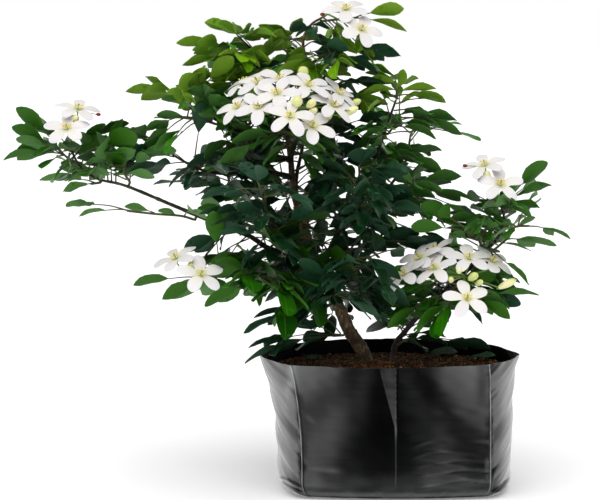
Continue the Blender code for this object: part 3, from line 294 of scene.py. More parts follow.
# %% Sprays on the right and on the second stem
SPRAYS += [
    ("right_light", 0.82, [(6, 371, -14)], 40, "mid",
     [(1.0, 69, 364, -24, 2, 12), (0.8, 61, 378, -14, 2, 10), (0.5, 45, 360, -40, 1, 12)]),
    ("right_light", 0.66, [(-5, 333, -14)], 38, "mid",
     [(1.0, 50, 324, -26, 2, 25), (0.7, 21, 341, -34, 2, 8), (0.6, 44, 347, 6, 1, 20)]),
    ("right_light", 0.40, [(-22, 283, -14), (-7, 290, -18), (18, 302, -22)], 36, "mid",
     [(1.0, 64, 320, -28, 2, 15), (0.8, 79, 296, -36, 2, 15), (0.5, 42, 300, -48, 1, 30)]),
    ("right_light", 0.14, [(-40, 238, -24), (-20, 245, -34)], 38, "deep",
     [(1.0, 56, 248, -32, 3, 15), (0.7, 22, 262, -40, 2, 10), (0.5, -10, 222, -70, 1, 25)]),
    ("second_stem", 0.77, [(86, 247, -54), (74, 256, -62)], 30, "bright",
     [(1.0, 28, 288, -62, 2, 55), (0.8, 79, 270, -74, 1, 75), (0.9, 16, 267, -66, 1, 50)]),
    ("second_stem", 0.82, [(112, 249, -40)], 38, "mid",
     [(1.0, 162, 250, -44, 2, 8), (0.7, 137, 244, -56, 1, 5)]),
    ("second_stem", 0.89, [(120, 261, -34), (134, 262, -34)], 26, "mid",
     [(1.0, 177, 256, -36, 2, 8), (0.6, 139, 273, -34, 1, 50), (0.2, 126, 276, -12, 1, 20)]),
    ("second_stem", 0.97, [(114, 288, -28)], 34, "bright",
     [(1.0, 147, 330, -22, 1, 50), (0.95, 153, 310, -26, 1, 25), (0.8, 145, 287, -30, 1, 25),
      (0.5, 84, 290, -52, 1, 40)]),
    ("second_stem", 0.60, [(66, 222, 2), (70, 228, 10)], 38, "deep",
     [(1.0, 102, 244, 26, 2, 10), (0.7, 40, 250, 18, 2, 15)]),
    ("second_stem", 0.53, [(56, 190, 4), (66, 186, 6)], 36, "deep",
     [(1.0, 91, 168, -4, 1, 35), (0.8, 127, 192, -8, 2, 40)]),
    ("shoot_head", 0.6, [(72, 190, -46), (84, 188, -48)], 40, "bright",
     [(1.0, 118, 175, -54, 1, 45), (0.9, 142, 204, -50, 1, 8)]),
    ("second_stem", 0.26, [(10, 148, -2), (16, 149, 0)], 38, "deep",
     [(1.0, 53, 153, -16, 1, 20), (0.7, 96, 147, 24, 2, 25), (0.5, 34, 146, -44, 1, 15)]),
]
print("sprays so far:", len(SPRAYS))

# %% Sprays on the left
SPRAYS += [
    ("trunk", 0.31, [(-72, 178, -10)], 38, "deep",
     [(1.0, -154, 165, -34, 3, 15), (0.8, -142, 178, -16, 2, 10), (0.5, -110, 160, -60, 1, 12)]),
    ("trunk", 0.22, [(-62, 152, -6)], 40, "deep",
     [(1.0, -154, 135, -34, 3, 20), (0.8, -148, 150, -20, 2, 8), (0.6, -100, 146, -60, 1, 10)]),
    ("left_low", 0.48, [(-124, 206, -50), (-132, 210, -62)], 34, "bright",
     [(1.0, -180, 232, -84, 2, 45), (0.9, -193, 188, -74, 2, 30), (0.7, -140, 183, -66, 1, 75),
      (0.6, -95, 182, -62, 1, 60), (0.8, -120, 228, -94, 1, 30)]),
    ("left_low", 0.94, [(-184, 208, -56)], 36, "bright",
     [(1.0, -262, 210, -66, 1, 30), (0.9, -235, 197, -58, 1, 30), (0.4, -152, 247, -58, 1, 50)]),
    ("left_long", 0.36, [(-168, 254, -34)], 34, "deep",
     [(1.0, -213, 244, -44, 2, 55), (0.7, -178, 240, -46, 1, 60), (0.4, -140, 268, -54, 1, 12)]),
    ("left_long", 0.47, [(-214, 272, -34), (-240, 274, -38), (-268, 277, -42)], 24, "mid",
     [(1.0, -329, 288, -50, 2, 10), (0.85, -316, 279, -56, 1, 8), (0.6, -268, 286, -30, 1, 50),
      (0.3, -236, 282, -48, 1, 30)]),
    ("left_long", 0.74, [(-271, 316, -34), (-269, 328, -34)], 34, "mid",
     [(1.0, -221, 346, -36, 1, 25), (0.95, -272, 352, -40, 1, 60), (0.5, -240, 315, -42, 1, 45)]),
    ("left_long", 0.84, [(-304, 304, -48)], 36, "mid",
     [(1.0, -334, 302, -56, 1, 45), (0.6, -354, 318, -56, 2, 20), (0.3, -292, 326, -62, 1, 60)]),
    ("left_long", 0.95, [(-332, 334, -36)], 33, "bright",
     [(1.0, -392, 337, -46, 2, 6), (0.95, -374, 384, -32, 1, 55), (0.9, -380, 366, -40, 1, 30),
      (0.8, -372, 346, -24, 1, 30), (0.5, -288, 356, -40, 1, 40), (0.7, -271, 372, -20, 1, 25)]),
    ("left_mid", 1.0, [(-235, 339, -20)], 30, "mid",
     [(1.0, -256, 335, -26, 1, 25), (0.5, -250, 352, -10, 2, 25)]),
    ("left_mid", 0.72, [(-196, 326, -22)], 36, "deep",
     [(1.0, -231, 308, -30, 1, 10), (0.8, -186, 346, -34, 1, 50), (0.5, -214, 304, -44, 1, 10)]),
    ("left_mid", 0.36, [(-150, 328, -14), (-158, 334, -26)], 38, "deep",
     [(1.0, -212, 336, -36, 2, 12), (0.7, -150, 346, -54, 2, 12)]),
    ("left_mid", 0.50, [(-166, 306, -22), (-170, 300, -34)], 38, "deep",
     [(1.0, -200, 300, -50, 2, 12), (0.7, -140, 304, -64, 2, 15)]),
]
print("sprays so far:", len(SPRAYS))

# %% Sprays towards the front and the back
# The back ones have only a number of leaves, which a rule fans out round the twig's end
SPRAYS += [
    ("front_top", 0.72, [(-112, 356, -56), (-118, 356, -64)], 44, "mid",
     [(1.0, -165, 354, -76, 1, 35), (0.7, -66, 346, -84, 1, 40), (0.5, -132, 338, -80, 1, 25)]),
    ("front_left", 1.0, [(-136, 304, -92)], 36, "deep",
     [(1.0, -152, 330, -108, 2, 12), (0.8, -88, 298, -104, 1, 20)]),
    ("front_left", 0.5, [(-122, 254, -62), (-128, 252, -74)], 36, "deep",
     [(1.0, -176, 262, -92, 2, 12), (0.7, -110, 246, -120, 2, 12)]),
    ("front_mid", 1.0, [(-36, 322, -94)], 38, "deep",
     [(1.0, -20, 344, -112, 2, 15), (0.8, 12, 314, -102, 2, 12)]),
    ("front_mid", 0.55, [(-30, 280, -62), (-18, 280, -74)], 36, "deep",
     [(1.0, 30, 284, -98, 2, 12), (0.7, -40, 262, -112, 2, 15)]),
    ("front_low", 1.0, [(-28, 232, -90)], 38, "deep",
     [(1.0, -6, 212, -128, 2, 15), (0.8, -72, 224, -122, 2, 12)]),
    ("front_low", 0.5, [(-50, 196, -64), (-56, 192, -72)], 38, "deep",
     [(1.0, -20, 176, -108, 2, 20), (0.7, -90, 184, -104, 2, 12)]),
    ("back_left", 1.0, [(-162, 358, 116)], 38, "mid", 3),
    ("back_left", 0.62, [(-158, 296, 104), (-168, 298, 112)], 38, "deep", 3),
    ("back_mid", 1.0, [(-98, 412, 106)], 38, "mid", 3),
    ("back_mid", 0.55, [(-110, 350, 98), (-116, 354, 108)], 38, "deep", 3),
    ("back_right", 1.0, [(18, 358, 96)], 38, "mid", 3),
    ("back_right", 0.55, [(2, 292, 84), (10, 296, 94)], 38, "deep", 3),
    ("back_low", 1.0, [(-82, 238, 112)], 38, "deep", 3),
]
print("sprays:", len(SPRAYS))

# %% [markdown]
# ## Where each flower head sits
# The white flowers stand in bunches: two large ones in the middle and low on the right, and four small ones
# at the ends of branches. Each flower and bud of the photograph has its own place in the table, because
# people look at the flowers first and a random bunch would never match them.

# %% Places of the flower heads
# A head is (stem, part of its length, middle, flowers, buds). A flower is (across, up, depth, turn) and a bud
# is (across, up, depth, length, width, turn), with its turn in degrees to the right of the front.
HEADS = {
    "left": ("left_long", 1.0, (-322, 356, -50),
             [(-328, 359, -72, -10), (-317, 378, -52, 15)], [(-320, 369, -60, 12, 8, 20)]),
    "top": ("right_fork", 1.0, (-52, 466, -30),
            [(-34, 458, -52, 15), (-49, 478, -36, -10)], [(-46, 468, -40, 12, 8, 10)]),
    "right": ("second_stem", 1.0, (100, 304, -44),
              [(105, 303, -62, 15), (90, 322, -46, -15)], [(92, 313, -52, 12, 8, -10)]),
    "low_left": ("left_low", 1.0, (-200, 220, -68),
                 [(-194, 213, -92, 15), (-219, 229, -74, -15)], [(-204, 222, -82, 13, 8, 10)]),
    "centre": ("front_top", 1.0, (-110, 378, -74),
               [(-115, 408, -88, 0), (-118, 394, -112, -5), (-136, 380, -120, -10), (-157, 380, -106, -35),
                (-105, 371, -136, 5), (-83, 361, -126, 20), (-87, 402, -98, 20), (-137, 404, -84, -20),
                (-150, 405, -66, -45), (-57, 394, -84, 50), (-62, 382, -104, 35)],
               [(-98, 386, -128, 17, 11, 10), (-84, 384, -120, 16, 8, 30), (-83, 376, -118, 15, 7, 40),
                (-92, 416, -74, 12, 11, 20), (-46, 376, -94, 20, 8, 80), (-68, 372, -108, 12, 9, 40),
                (-40, 385, -78, 13, 7, 70)]),
    "low_right": ("shoot_head", 1.0, (70, 212, -58),
                  [(25, 229, -70, -35), (40, 237, -58, -15), (40, 219, -84, -20), (74, 229, -76, 5),
                   (97, 226, -68, 30), (72, 189, -106, 15), (10, 213, -82, -60)],
                  [(78, 211, -98, 16, 8, 30), (64, 217, -96, 11, 6, 0), (112, 204, -78, 20, 8, 80),
                   (84, 205, -94, 11, 6, 40), (56, 208, -98, 9, 6, -10)]),
}
print("heads:", len(HEADS), "buds:", sum(len(row[4]) for row in HEADS.values()))

# %% [markdown]
# ## Tubes as arrays
# Stems, stalks, buds and the bag itself are all tubes: rings of points along a line, joined by quads. Worked
# out as whole arrays, a tube of thousands of points takes a moment.

# %% Arrays, grids and tubes
def unit(vectors):
    """Return vectors of length one."""
    return vectors / np.maximum(np.linalg.norm(vectors, axis=-1, keepdims=True), 1e-9)


def tube_rings(points, radii, sides):
    """Return the rings of a tube as an array (ring, side, xyz).

    A ring point is middle + radius * (side * cos a + other * sin a), and the side vector is carried along
    the line without twist.
    """
    line = np.array([tuple(p) for p in points], dtype=float)
    after = np.vstack([line[1:], line[-1:]])
    before = np.vstack([line[:1], line[:-1]])
    tangents = unit(after - before)
    side = np.array(Vector(tangents[0]).orthogonal().normalized())
    frames = []
    for tangent in tangents:
        side = unit(side - tangent * (side @ tangent))
        frames.append(side)
    frames = np.array(frames)
    others = np.cross(tangents, frames)
    angles = 2 * np.pi * np.arange(sides) / sides
    ring = frames[:, None] * np.cos(angles)[None, :, None] + others[:, None] * np.sin(angles)[None, :, None]
    return line[:, None] + ring * np.asarray(radii, dtype=float)[:, None, None]


def grid_faces(rows, columns, wrapped=False):
    """Return the quads of a grid: each joins a point to the next row and the next column."""
    r = np.arange(rows - 1)[:, None]
    c = np.arange(columns if wrapped else columns - 1)[None, :]
    after = (c + 1) % columns
    return np.stack([r * columns + c, r * columns + after, (r + 1) * columns + after, (r + 1) * columns + c],
                    axis=-1).reshape(-1, 4)


def tube_faces(rows, sides):
    """Return the faces of a closed tube: its walls, and one face at each end."""
    ends = np.array([np.arange(sides)[::-1], (rows - 1) * sides + np.arange(sides)])
    return [grid_faces(rows, sides, wrapped=True), ends]


def tube(points, radii, sides):
    """Return a plain closed tube as lists, for the crossing tests."""
    rings = tube_rings(points, radii, sides)
    faces = [face for group in tube_faces(len(rings), sides) for face in group.tolist()]
    return rings.reshape(-1, 3).tolist(), faces


print("a tube of two rings of six has", len(tube([(0, 0, 0), (0, 0, 9)], [1, 1], 6)[1]), "faces")

# %% [markdown]
# ## Keeping leaves apart
# Leaves don't pass through each other, so every new one is tested against what stands there. A BVH tree
# does it quickly: it sorts the triangles of a surface into boxes and tells whether two surfaces meet. The
# loaded solids are turned into such trees, so these tests give the same leaves as the solids have.

# %% Crossing tests
SKY = Vector((0.0, 0.0, 1.0))


def solid_tree(name):
    """Return a loaded solid as a tree of triangles, in millimetres."""
    mesh = frame["nodes"][name].data
    points = np.zeros(len(mesh.vertices) * 3, dtype=np.float32)
    mesh.vertices.foreach_get("co", points)
    faces = [tuple(p.vertices) for p in mesh.polygons]
    return BVHTree.FromPolygons(list(points.reshape(-1, 3) / MM), faces)


def crosses(surface, trees):
    """Tell whether a surface, given as its points and its faces, meets any of the trees."""
    own = BVHTree.FromPolygons(*surface)
    return any(own.overlap(tree) for tree in trees)


def thicken(points, normal, triangles, thick):
    """Return a closed solid from an open surface: its triangles on both faces, and a rim round its edge."""
    upper = [p + normal * (thick / 2) for p in points]
    lower = [p - normal * (thick / 2) for p in points]
    count = len(points)
    edges = {(a, b) for t in triangles for a, b in zip(t, t[1:] + t[:1])}
    faces = list(triangles)
    faces += [(c + count, b + count, a + count) for a, b, c in triangles]
    for a, b in sorted(edges):
        if (b, a) not in edges:
            faces += [(b, a, a + count), (b, a + count, b + count)]
    return upper + lower, faces


def frame_along(origin, direction, normal):
    """Return the placing of a blade: x along it, z out of its upper face."""
    x = direction.normalized()
    z = (normal - x * normal.dot(x)).normalized()
    y = z.cross(x)
    return Matrix.Translation(origin) @ Matrix((x, y, z)).transposed().to_4x4()


def level_up(direction, turn):
    """Return the upward normal of a blade, turned by an angle in degrees towards the front."""
    up = (SKY - direction * SKY.dot(direction)).normalized()
    front = Vector((0.0, -1.0, 0.0))
    sign = 1.0 if direction.cross(up).dot(front) > 0 else -1.0
    return Matrix.Rotation(math.radians(-turn) * sign, 3, direction) @ up


fixed = [solid_tree(name) for name in ("grow_bag", "potting_soil", "trunk", "second_stem")]
fixed += [solid_tree(f"flower_head_{name}") for name in HEADS]
print("solids that leaves have to clear from the start:", len(fixed))

# %% [markdown]
# ## Leaflets and compound leaves
# Orange jasmine has compound leaves: a slim stalk with a leaflet at its end and others along its sides. Here
# a leaflet is only its place and its sizes, and its fine surface is made later. Each is tilted a little at
# random until it clears its neighbours, as real ones slide past each other.

# %% Leaflet
LEAF_PROFILE = [(0.34, 0.90), (0.74, 0.86), (1.0, 0.0)]  # share of the length, share of the half width
LEAF_WIDE = (0.42, 0.50)  # width of a leaflet, as a share of its length
DROOP = (0.10, 0.20)  # how far its tip hangs, as a share of its length
LEAFLET_THICK = 0.8
CHECK_SWELL = 1.07  # how much larger a blade is made while it is tested for crossings
TRIES = 14  # ways that a leaflet is turned before it is given up
PATCH_FACES = [(0, 1, 4), (1, 3, 4), (1, 2, 3)]
TESTER_FACES = [(0, 2, 1), (2, 6, 1), (2, 3, 6), (3, 5, 6), (3, 4, 5)]


@dataclass
class Leaflet:
    """Where one leaflet stands and how it is shaped."""

    frame: Matrix
    length: float
    width: float
    droop: float

    def points(self, swell=1.0):
        """Return the outline: the right side from the stalk, the tip, and the left side back."""
        long = self.length * swell
        wide = self.width * swell
        rows = [(t, -s) for t, s in LEAF_PROFILE] + [(t, s) for t, s in LEAF_PROFILE[-2::-1]]
        return [self.frame @ Vector((long * t, wide / 2 * s, long * (-self.droop * t * t))) for t, s in rows]

    def patch(self):
        """Return the leaflet's own surface as a tree, which the next ones have to clear."""
        return BVHTree.FromPolygons(self.points(), PATCH_FACES)

    def tester(self):
        """Return a larger, thicker solid of the leaflet, for the crossing tests."""
        foot = [self.frame @ Vector((0.0, -0.8, 0.0)), self.frame @ Vector((0.0, 0.8, 0.0))]
        normal = self.frame.to_3x3() @ SKY
        return thicken(foot + self.points(CHECK_SWELL), normal, TESTER_FACES, 2 * LEAFLET_THICK)


def place_leaflet(rng, base, direction, turn, length, trees):
    """Try a few tilts until the leaflet clears everything near it; return it, or None."""
    width = length * rng.uniform(*LEAF_WIDE)
    for attempt in range(TRIES):
        spread = 6 + 3.0 * attempt
        tilt = turn + rng.uniform(-spread, spread)
        swing = Matrix.Rotation(math.radians(rng.uniform(-spread, spread) * 0.6), 3, SKY)
        aim = (swing @ direction + SKY * rng.uniform(-0.02, 0.02) * attempt).normalized()
        placing = frame_along(base, aim, level_up(aim, tilt))
        blade = Leaflet(placing, length, width, rng.uniform(*DROOP))
        if not crosses(blade.tester(), trees):
            return blade
    return None


print("points of a leaflet's outline:", 2 * len(LEAF_PROFILE) - 1)

# %% [markdown]
# ## A compound leaf
# The stalk is a slightly arched line. The end leaflet comes first and the side ones follow towards the foot,
# on one side and the other in turn, as they stand on a real twig.

# %% Compound leaf
STALK_STEP = 17.0  # length of the straight pieces of a stalk
STRIP_HALF = 0.7  # half the width of a solid's stalk, where its leaflets start
SIDE_SPREAD = (42, 57)  # angle between a side leaflet and the leaf's stalk, in degrees
SIDE_FIRST = 0.90  # part of the stalk where the first side leaflets stand
SIDE_REACH = 0.56  # part of the stalk over which the side leaflets are spread
END_MOST = 0.86  # the end leaflet takes up no more of the whole leaf than this
STALK_ARCH = 0.05  # how high the stalk's middle rises, as a share of its length
STALK_RADIUS = 0.9
FREE_FOOT = 2.5  # the stalk's foot touches its twig, so the tests start this far out


def place_leaf(rng, base, tip, count, size, turn, trees, near):
    """Return one compound leaf, its stalk's line and its blades, or None where its stalk can't clear.

    trees are the pieces made before, and near are the leaflets of the same spray, which it adds to.
    """
    reach = (tip - base).length
    direction = (tip - base).normalized()
    end_size = min(size * rng.uniform(0.96, 1.1), reach * END_MOST)
    stalk = reach - end_size
    middle = base + direction * (stalk * 0.5) + SKY * (stalk * STALK_ARCH)
    line = Route([(*p, STALK_RADIUS) for p in (base, middle, base + direction * stalk)], STALK_STEP)
    far_part = [base + direction * FREE_FOOT] + line.points[1:]
    if crosses(tube(far_part, line.radii, 3), trees + near):
        return None
    leaf = SimpleNamespace(line=line, blades=[])
    up = level_up(direction, turn * 0.4)
    tail = line.at(1.0)[1]
    side = rng.choice((-1, 1))
    for k in range(count):
        if k == 0:
            blade = place_leaflet(rng, line.points[-1], tail, turn, end_size, trees + near)
        else:
            point, heading, _ = line.at(SIDE_FIRST - SIDE_REACH * (k - 1) / max(1, count - 1))
            angle = math.radians(side * rng.uniform(*SIDE_SPREAD))
            out = Matrix.Rotation(angle, 3, up) @ heading
            edge = up.cross(heading).normalized() * side * STRIP_HALF
            length = size * rng.uniform(0.78, 0.98)
            blade = place_leaflet(rng, point + edge, out, turn, length, trees + near)
            side = -side
        if blade:
            leaf.blades.append(blade)
            near.append(blade.patch())
    return leaf


print("side leaflets stand from", SIDE_FIRST, "down to", round(SIDE_FIRST - SIDE_REACH, 2), "of the stalk")

# %% [markdown]
# ## A leafy spray
# A spray is a green twig with its compound leaves. It leaves its stem at a right angle and bends to where the
# photograph shows it. Leaves in front have their tips given, and those at the back follow a rule.

# %% Leaves of a spray at the back
FAN = 150  # degrees over which the leaves of a back spray fan out
BACK_STEP = 0.12  # part of the twig between two of them
BACK_TURN = 8.0  # their turn, in degrees


def rule_tips(rng, base, heading, size, count):
    """Return the tips of leaves that fan out round a twig's end, wide and a little downwards."""
    outward = Vector((heading.x, heading.y, 0.0)).normalized()
    tips = []
    for k in range(count):
        angle = math.radians(-FAN / 2 + FAN * k / (count - 1) + rng.uniform(-12, 12))
        aim = Matrix.Rotation(angle, 3, SKY) @ outward + SKY * rng.uniform(-0.25, 0.45)
        tips.append(base + aim.normalized() * size * rng.uniform(1.9, 2.4))
    return tips


print("leaves at the back fan out by", FAN / 2, "degrees to each side")

# %% Leafy spray
GAP = 0.3  # clearance between pieces that touch
TWIG_STEP = 30.0  # length of the straight pieces of a twig
TWIG_TIP = 1.2  # radius of a twig at its tip
TWIG_FOOT = 1.4  # greatest radius of a twig at its foot
TWIG_OUT = 3.0  # how far it leaves its stem at a right angle
LAST_BASE = 0.97  # no leaf starts further along the twig than this
FRONT_TURN = 24.0  # how far every leaf turns towards the viewer, in degrees
TURN_SHARE = 0.65  # how much of a leaf's own turn is added


def grow_spray(number, row, carriers, trees):
    """Return one spray, its node's name, tone, twig and leaves, which clears the pieces made before it."""
    carrier, part, points, size, tone, leaves = row
    rng = random.Random(1000 + number)
    foot, heading, radius = carriers[carrier].at(part)
    out = heading
    start = foot + out * GAP
    if part < 1.0:
        out = seen(*points[0]) - foot
        out = (out - heading * out.dot(heading)).normalized()
        start = foot + out * (radius + GAP)
    thick = min(TWIG_FOOT, radius)
    line = [start, start + out * TWIG_OUT] + [seen(*p) for p in points]
    taper = [thick + (TWIG_TIP - thick) * k / (len(line) - 1) for k in range(len(line))]
    twig = Route([(*p, r) for p, r in zip(line, taper)], TWIG_STEP)
    spray = SimpleNamespace(name=f"leafy_spray_{number:02d}", tone=tone, twig=twig, leaves=[])
    if isinstance(leaves, int):
        tips = rule_tips(rng, spray.twig.points[-1], heading, size, leaves)
        plan = [(1.0 - BACK_STEP * k, tip, 2 if k % 2 else 1, BACK_TURN) for k, tip in enumerate(tips)]
    else:
        plan = [(place, seen(*tip), count, FRONT_TURN + turn * TURN_SHARE)
                for place, *tip, count, turn in leaves]
    near = []
    for place, tip, count, turn in plan:
        base, _, _ = spray.twig.at(min(place, LAST_BASE))
        leaf = place_leaf(rng, base, tip, count, size, turn, trees, near)
        if leaf and leaf.blades:
            spray.leaves.append(leaf)
    return spray


first = grow_spray(1, SPRAYS[0], carriers, fixed)
print("leaflets of each leaf of the first spray:", [len(leaf.blades) for leaf in first.leaves])

# %% [markdown]
# ## Growing the flower heads
# A head is a bunch of flowers and buds whose stalks meet in one knot. Each flower has five petals that rise
# from a small hub and curl back.

# %% One flower
HUB = 1.9  # radius at which the petals join


class Flower:
    """One open flower: the foot of its petals, the way that it looks and its turn about that way."""

    def __init__(self, base, facing, turn):
        self.base = base
        self.facing = facing
        self.turn = turn
        self.lengths = []

    def petals(self):
        """Return the placing of each petal, its claw on the flower's rim."""
        side = self.facing.orthogonal().normalized()
        frames = []
        for k in range(5):
            out = Matrix.Rotation(self.turn + 2 * math.pi * k / 5, 3, self.facing) @ side
            frames.append(frame_along(self.base + out * HUB * 0.8, out, self.facing))
        return frames


def heading_vector(degrees, rise):
    """Return the way that a flower looks, turned from the front by degrees and rising by rise."""
    angle = math.radians(degrees)
    return Vector((math.sin(angle), -math.cos(angle), rise)).normalized()


print("petals of a flower:", len(Flower(Vector(), SKY, 0.0).petals()))

# %% [markdown]
# ## A flower head
# The head's own stalk rises from the end of a stem to the knot, and from there a thin stalk runs to each
# flower and bud. A flower looks up and a little away from the middle of its head.

# %% Flower head
PETAL_LONG = 22.0
FLOWER_RISE = (1.9, 2.7)  # how steeply the flowers of a head look up: rise over run
FLOWER_SPREAD = 0.4  # how much a flower also leans away from the middle of its head
FLOWER_STALK = 9.0  # straight part of the stalk under a flower
KNOT_LEAST = 2.0  # radius of the knot of flower stalks, before it grows with their number
KNOT_EACH = 0.28


def grow_head(name, row, carriers):
    """Return a head's flowers, buds and stalks."""
    carrier, part, middle, flowers, buds = row
    rng = random.Random(name)
    foot, heading, _ = carriers[carrier].at(part)
    hub = seen(*middle)
    start = foot + heading * GAP
    knot = KNOT_LEAST + KNOT_EACH * (len(flowers) + len(buds))
    head = {"flowers": [], "buds": [], "stalks": [smooth([start, start + heading * 3.0, hub], 30.0)]}
    for across, up, depth, turn in flowers:
        base = seen(across, up, depth)
        outward = (base - hub).normalized()
        facing = heading_vector(turn, rng.uniform(*FLOWER_RISE)) + outward * FLOWER_SPREAD
        facing = facing.normalized()
        bend = base - facing * FLOWER_STALK
        flower = Flower(base, facing, rng.uniform(0, 1.2))
        flower.lengths = [PETAL_LONG * rng.uniform(0.94, 1.06) for _ in range(5)]
        head["flowers"].append(flower)
        head["stalks"].append([hub + (bend - hub).normalized() * knot * 0.6, bend, base])
    for across, up, depth, length, width, turn in buds:
        aim = heading_vector(turn, 0.5)
        base = seen(across, up, depth) - aim * (length / 2)
        foot = base + aim * 1.5
        head["buds"].append((base, aim, length, width))
        head["stalks"].append([hub + (foot - hub).normalized() * knot * 0.6, foot])
    return head


heads = {name: grow_head(name, row, carriers) for name, row in HEADS.items()}
print("flowers:", sum(len(head["flowers"]) for head in heads.values()))

# %% [markdown]
# ## The whole plan
# The sprays are now grown in the order in which the solids were, each clear of those before it. At the end
# the outline of every leaflet is compared with its solid: each point has to lie on the rim of the blade.

# %% Grow the sprays
sprays = []
solids = []
for number, row in enumerate(SPRAYS, 1):
    sprays.append(grow_spray(number, row, carriers, fixed + solids))
    solids.append(solid_tree(sprays[-1].name))
off = [tree.find_nearest(p)[3] for spray, tree in zip(sprays, solids)
       for leaf in spray.leaves for blade in leaf.blades for p in blade.points()]
print("leaflets:", sum(len(leaf.blades) for spray in sprays for leaf in spray.leaves))
print("furthest that an outline is from its solid, in mm:", round(max(off), 6))

# %% [markdown]
# ## More leaves than solids can hold
# The solids carry the leaves that set the outline. The real crown is several times denser, so more leaves
# are grown on the same stems. First the crown's outline is drawn from the front as a few polygons, with the
# places where stems, light or flowers show through. A point inside is told by the even-odd rule.

# %% Outline of the crown
# The first is the middle of the crown, then the long left branch, the low left, the right and the low right
CROWN = [
    [(-166, 468), (-118, 464), (-92, 472), (-58, 462), (-25, 442), (5, 438), (-10, 418), (-20, 406),
     (10, 418), (38, 412), (50, 397), (62, 382), (69, 364), (42, 352), (48, 338), (50, 322), (80, 300),
     (90, 280), (64, 262), (60, 246), (30, 240), (-6, 240), (-6, 214), (24, 206), (48, 196), (58, 172),
     (50, 151), (0, 149), (-30, 160), (-60, 158), (-100, 144), (-152, 136), (-152, 167), (-108, 183),
     (-98, 196), (-112, 240), (-150, 252), (-205, 268), (-202, 292), (-228, 310), (-207, 330), (-207, 344),
     (-176, 352), (-194, 372), (-264, 405), (-232, 417), (-212, 430), (-214, 453), (-160, 446)],
    [(-388, 337), (-374, 386), (-345, 386), (-270, 374), (-222, 347), (-240, 314), (-298, 311), (-333, 302),
     (-355, 318), (-374, 342)],
    [(-262, 211), (-205, 240), (-130, 242), (-95, 216), (-92, 184), (-140, 182), (-195, 188), (-236, 197)],
    [(26, 268), (60, 300), (80, 312), (150, 330), (152, 288), (138, 274), (108, 247), (50, 255)],
    [(0, 205), (0, 240), (40, 246), (122, 226), (140, 205), (118, 175), (50, 175)],
]


def shown_at(point):
    """Return where a point shows from the front, as (across, up): the reverse of seen."""
    ray = point - EYE
    normal = ACROSS.cross(UPWARD)
    hit = EYE + ray * ((EYE_AIM - EYE).dot(normal) / ray.dot(normal))
    return hit.x, (hit - EYE_AIM).dot(UPWARD) + AIM_UP


def inside(place, outline):
    """Tell whether a place lies inside an outline: a ray to its right meets it an odd number of times."""
    x, y = place
    odd = False
    for (ax, ay), (bx, by) in zip(outline, outline[1:] + outline[:1]):
        if (ay > y) != (by > y) and x < ax + (bx - ax) * (y - ay) / (by - ay):
            odd = not odd
    return odd


# Places where bare stem, light or flowers show through the front; leaves stay behind the depth in front
OPENINGS = [
    (30.0, [(-122, 352), (-84, 352), (-86, 296), (-112, 296)]),
    (30.0, [(-98, 270), (-58, 276), (-52, 250), (-70, 238), (-92, 244)]),
    (30.0, [(-66, 182), (-28, 182), (-22, 150), (-52, 150)]),
    (30.0, [(-214, 372), (-180, 360), (-150, 346), (-166, 338), (-206, 352)]),
    (-50.0, [(16, 246), (124, 244), (124, 212), (92, 180), (62, 180), (10, 210)]),
]
LIGHT_GAP = 0.27  # a smooth random field above this lets light through the crown
GAP_WIDE = 26.0  # about how far apart such gaps are, across and up
GAP_HIGH = 15.0


def in_crown(point):
    """Tell whether a leaf may stand here: inside the outline, behind openings and not in a gap of light."""
    place = shown_at(point)
    if any(point.y < depth and inside(place, opening) for depth, opening in OPENINGS):
        return False
    inner = -180.0 < place[0] < 75.0 and 238.0 < place[1] < 456.0
    if inner and noise.noise(Vector((place[0] / GAP_WIDE, place[1] / GAP_HIGH, 3.0))) > LIGHT_GAP:
        return False
    return any(inside(place, outline) for outline in CROWN)


print("polygons of the outline:", len(CROWN), "openings:", len(OPENINGS))

# %% [markdown]
# ## The rule of the extra leaves
# On a real shoot each leaf stands a golden angle round from the last, so that none shades the next. A
# particle system could scatter leaves, but it wouldn't know what they cross. Here each leaf is tried in turn
# and kept only where it shows inside the outline and crosses nothing.

# %% One extra leaf
BAG_RIM = 133.0  # height of the front of the bag's rim
RIM_CLEAR = 6.0  # how far the tips of extra leaves stay above it
GOLDEN_TURN = math.radians(137.5)
LEAF_SPACING = 7.0  # along a branch, from one leaf to the next
CLOSE_SPACING = 4.0  # the same where the photograph's foliage is closest
CLOSE_LINES = {"left_long", "second_stem", "shoot_head", "top_left", "right_fork", "left_upper", "left_low",
               "front_low", "back_low", "front_mid"}
BROAD_LINES = {"left_long": 1.22, "left_low": 1.3, "shoot_head": 1.2}  # larger leaves by the clusters
LOW_CROWN = 225.0  # below this, leaves hang
LIFT = (-0.12, 0.35)  # how steeply a leaf rises: rise over run
HANG = (-0.42, 0.08)  # the same for leaves that hang
BACK_FROM = 60.0  # leaves whose tips lie deeper than this look to the back
FRONT_TILT = (22.0, 55.0)  # turn towards the viewer, in degrees
BACK_TILT = (-30.0, 10.0)
NEIGHBOURS = 95.0  # leaves further than this can't touch


class Crowd:
    """The leaflets placed so far, found quickly by how near they are."""

    def __init__(self):
        self.patches = []
        self.middles = []

    def add(self, leaf):
        """Remember the leaflets of one leaf."""
        for blade in leaf.blades:
            self.patches.append(blade.patch())
            self.middles.append(tuple(blade.frame @ Vector((blade.length / 2, 0.0, 0.0))))

    def near(self, point, reach):
        """Return the surfaces of the leaflets whose middles lie within reach of a point."""
        far = np.linalg.norm(np.array(self.middles) - np.array(point), axis=1)
        return [self.patches[k] for k in np.flatnonzero(far < reach)]


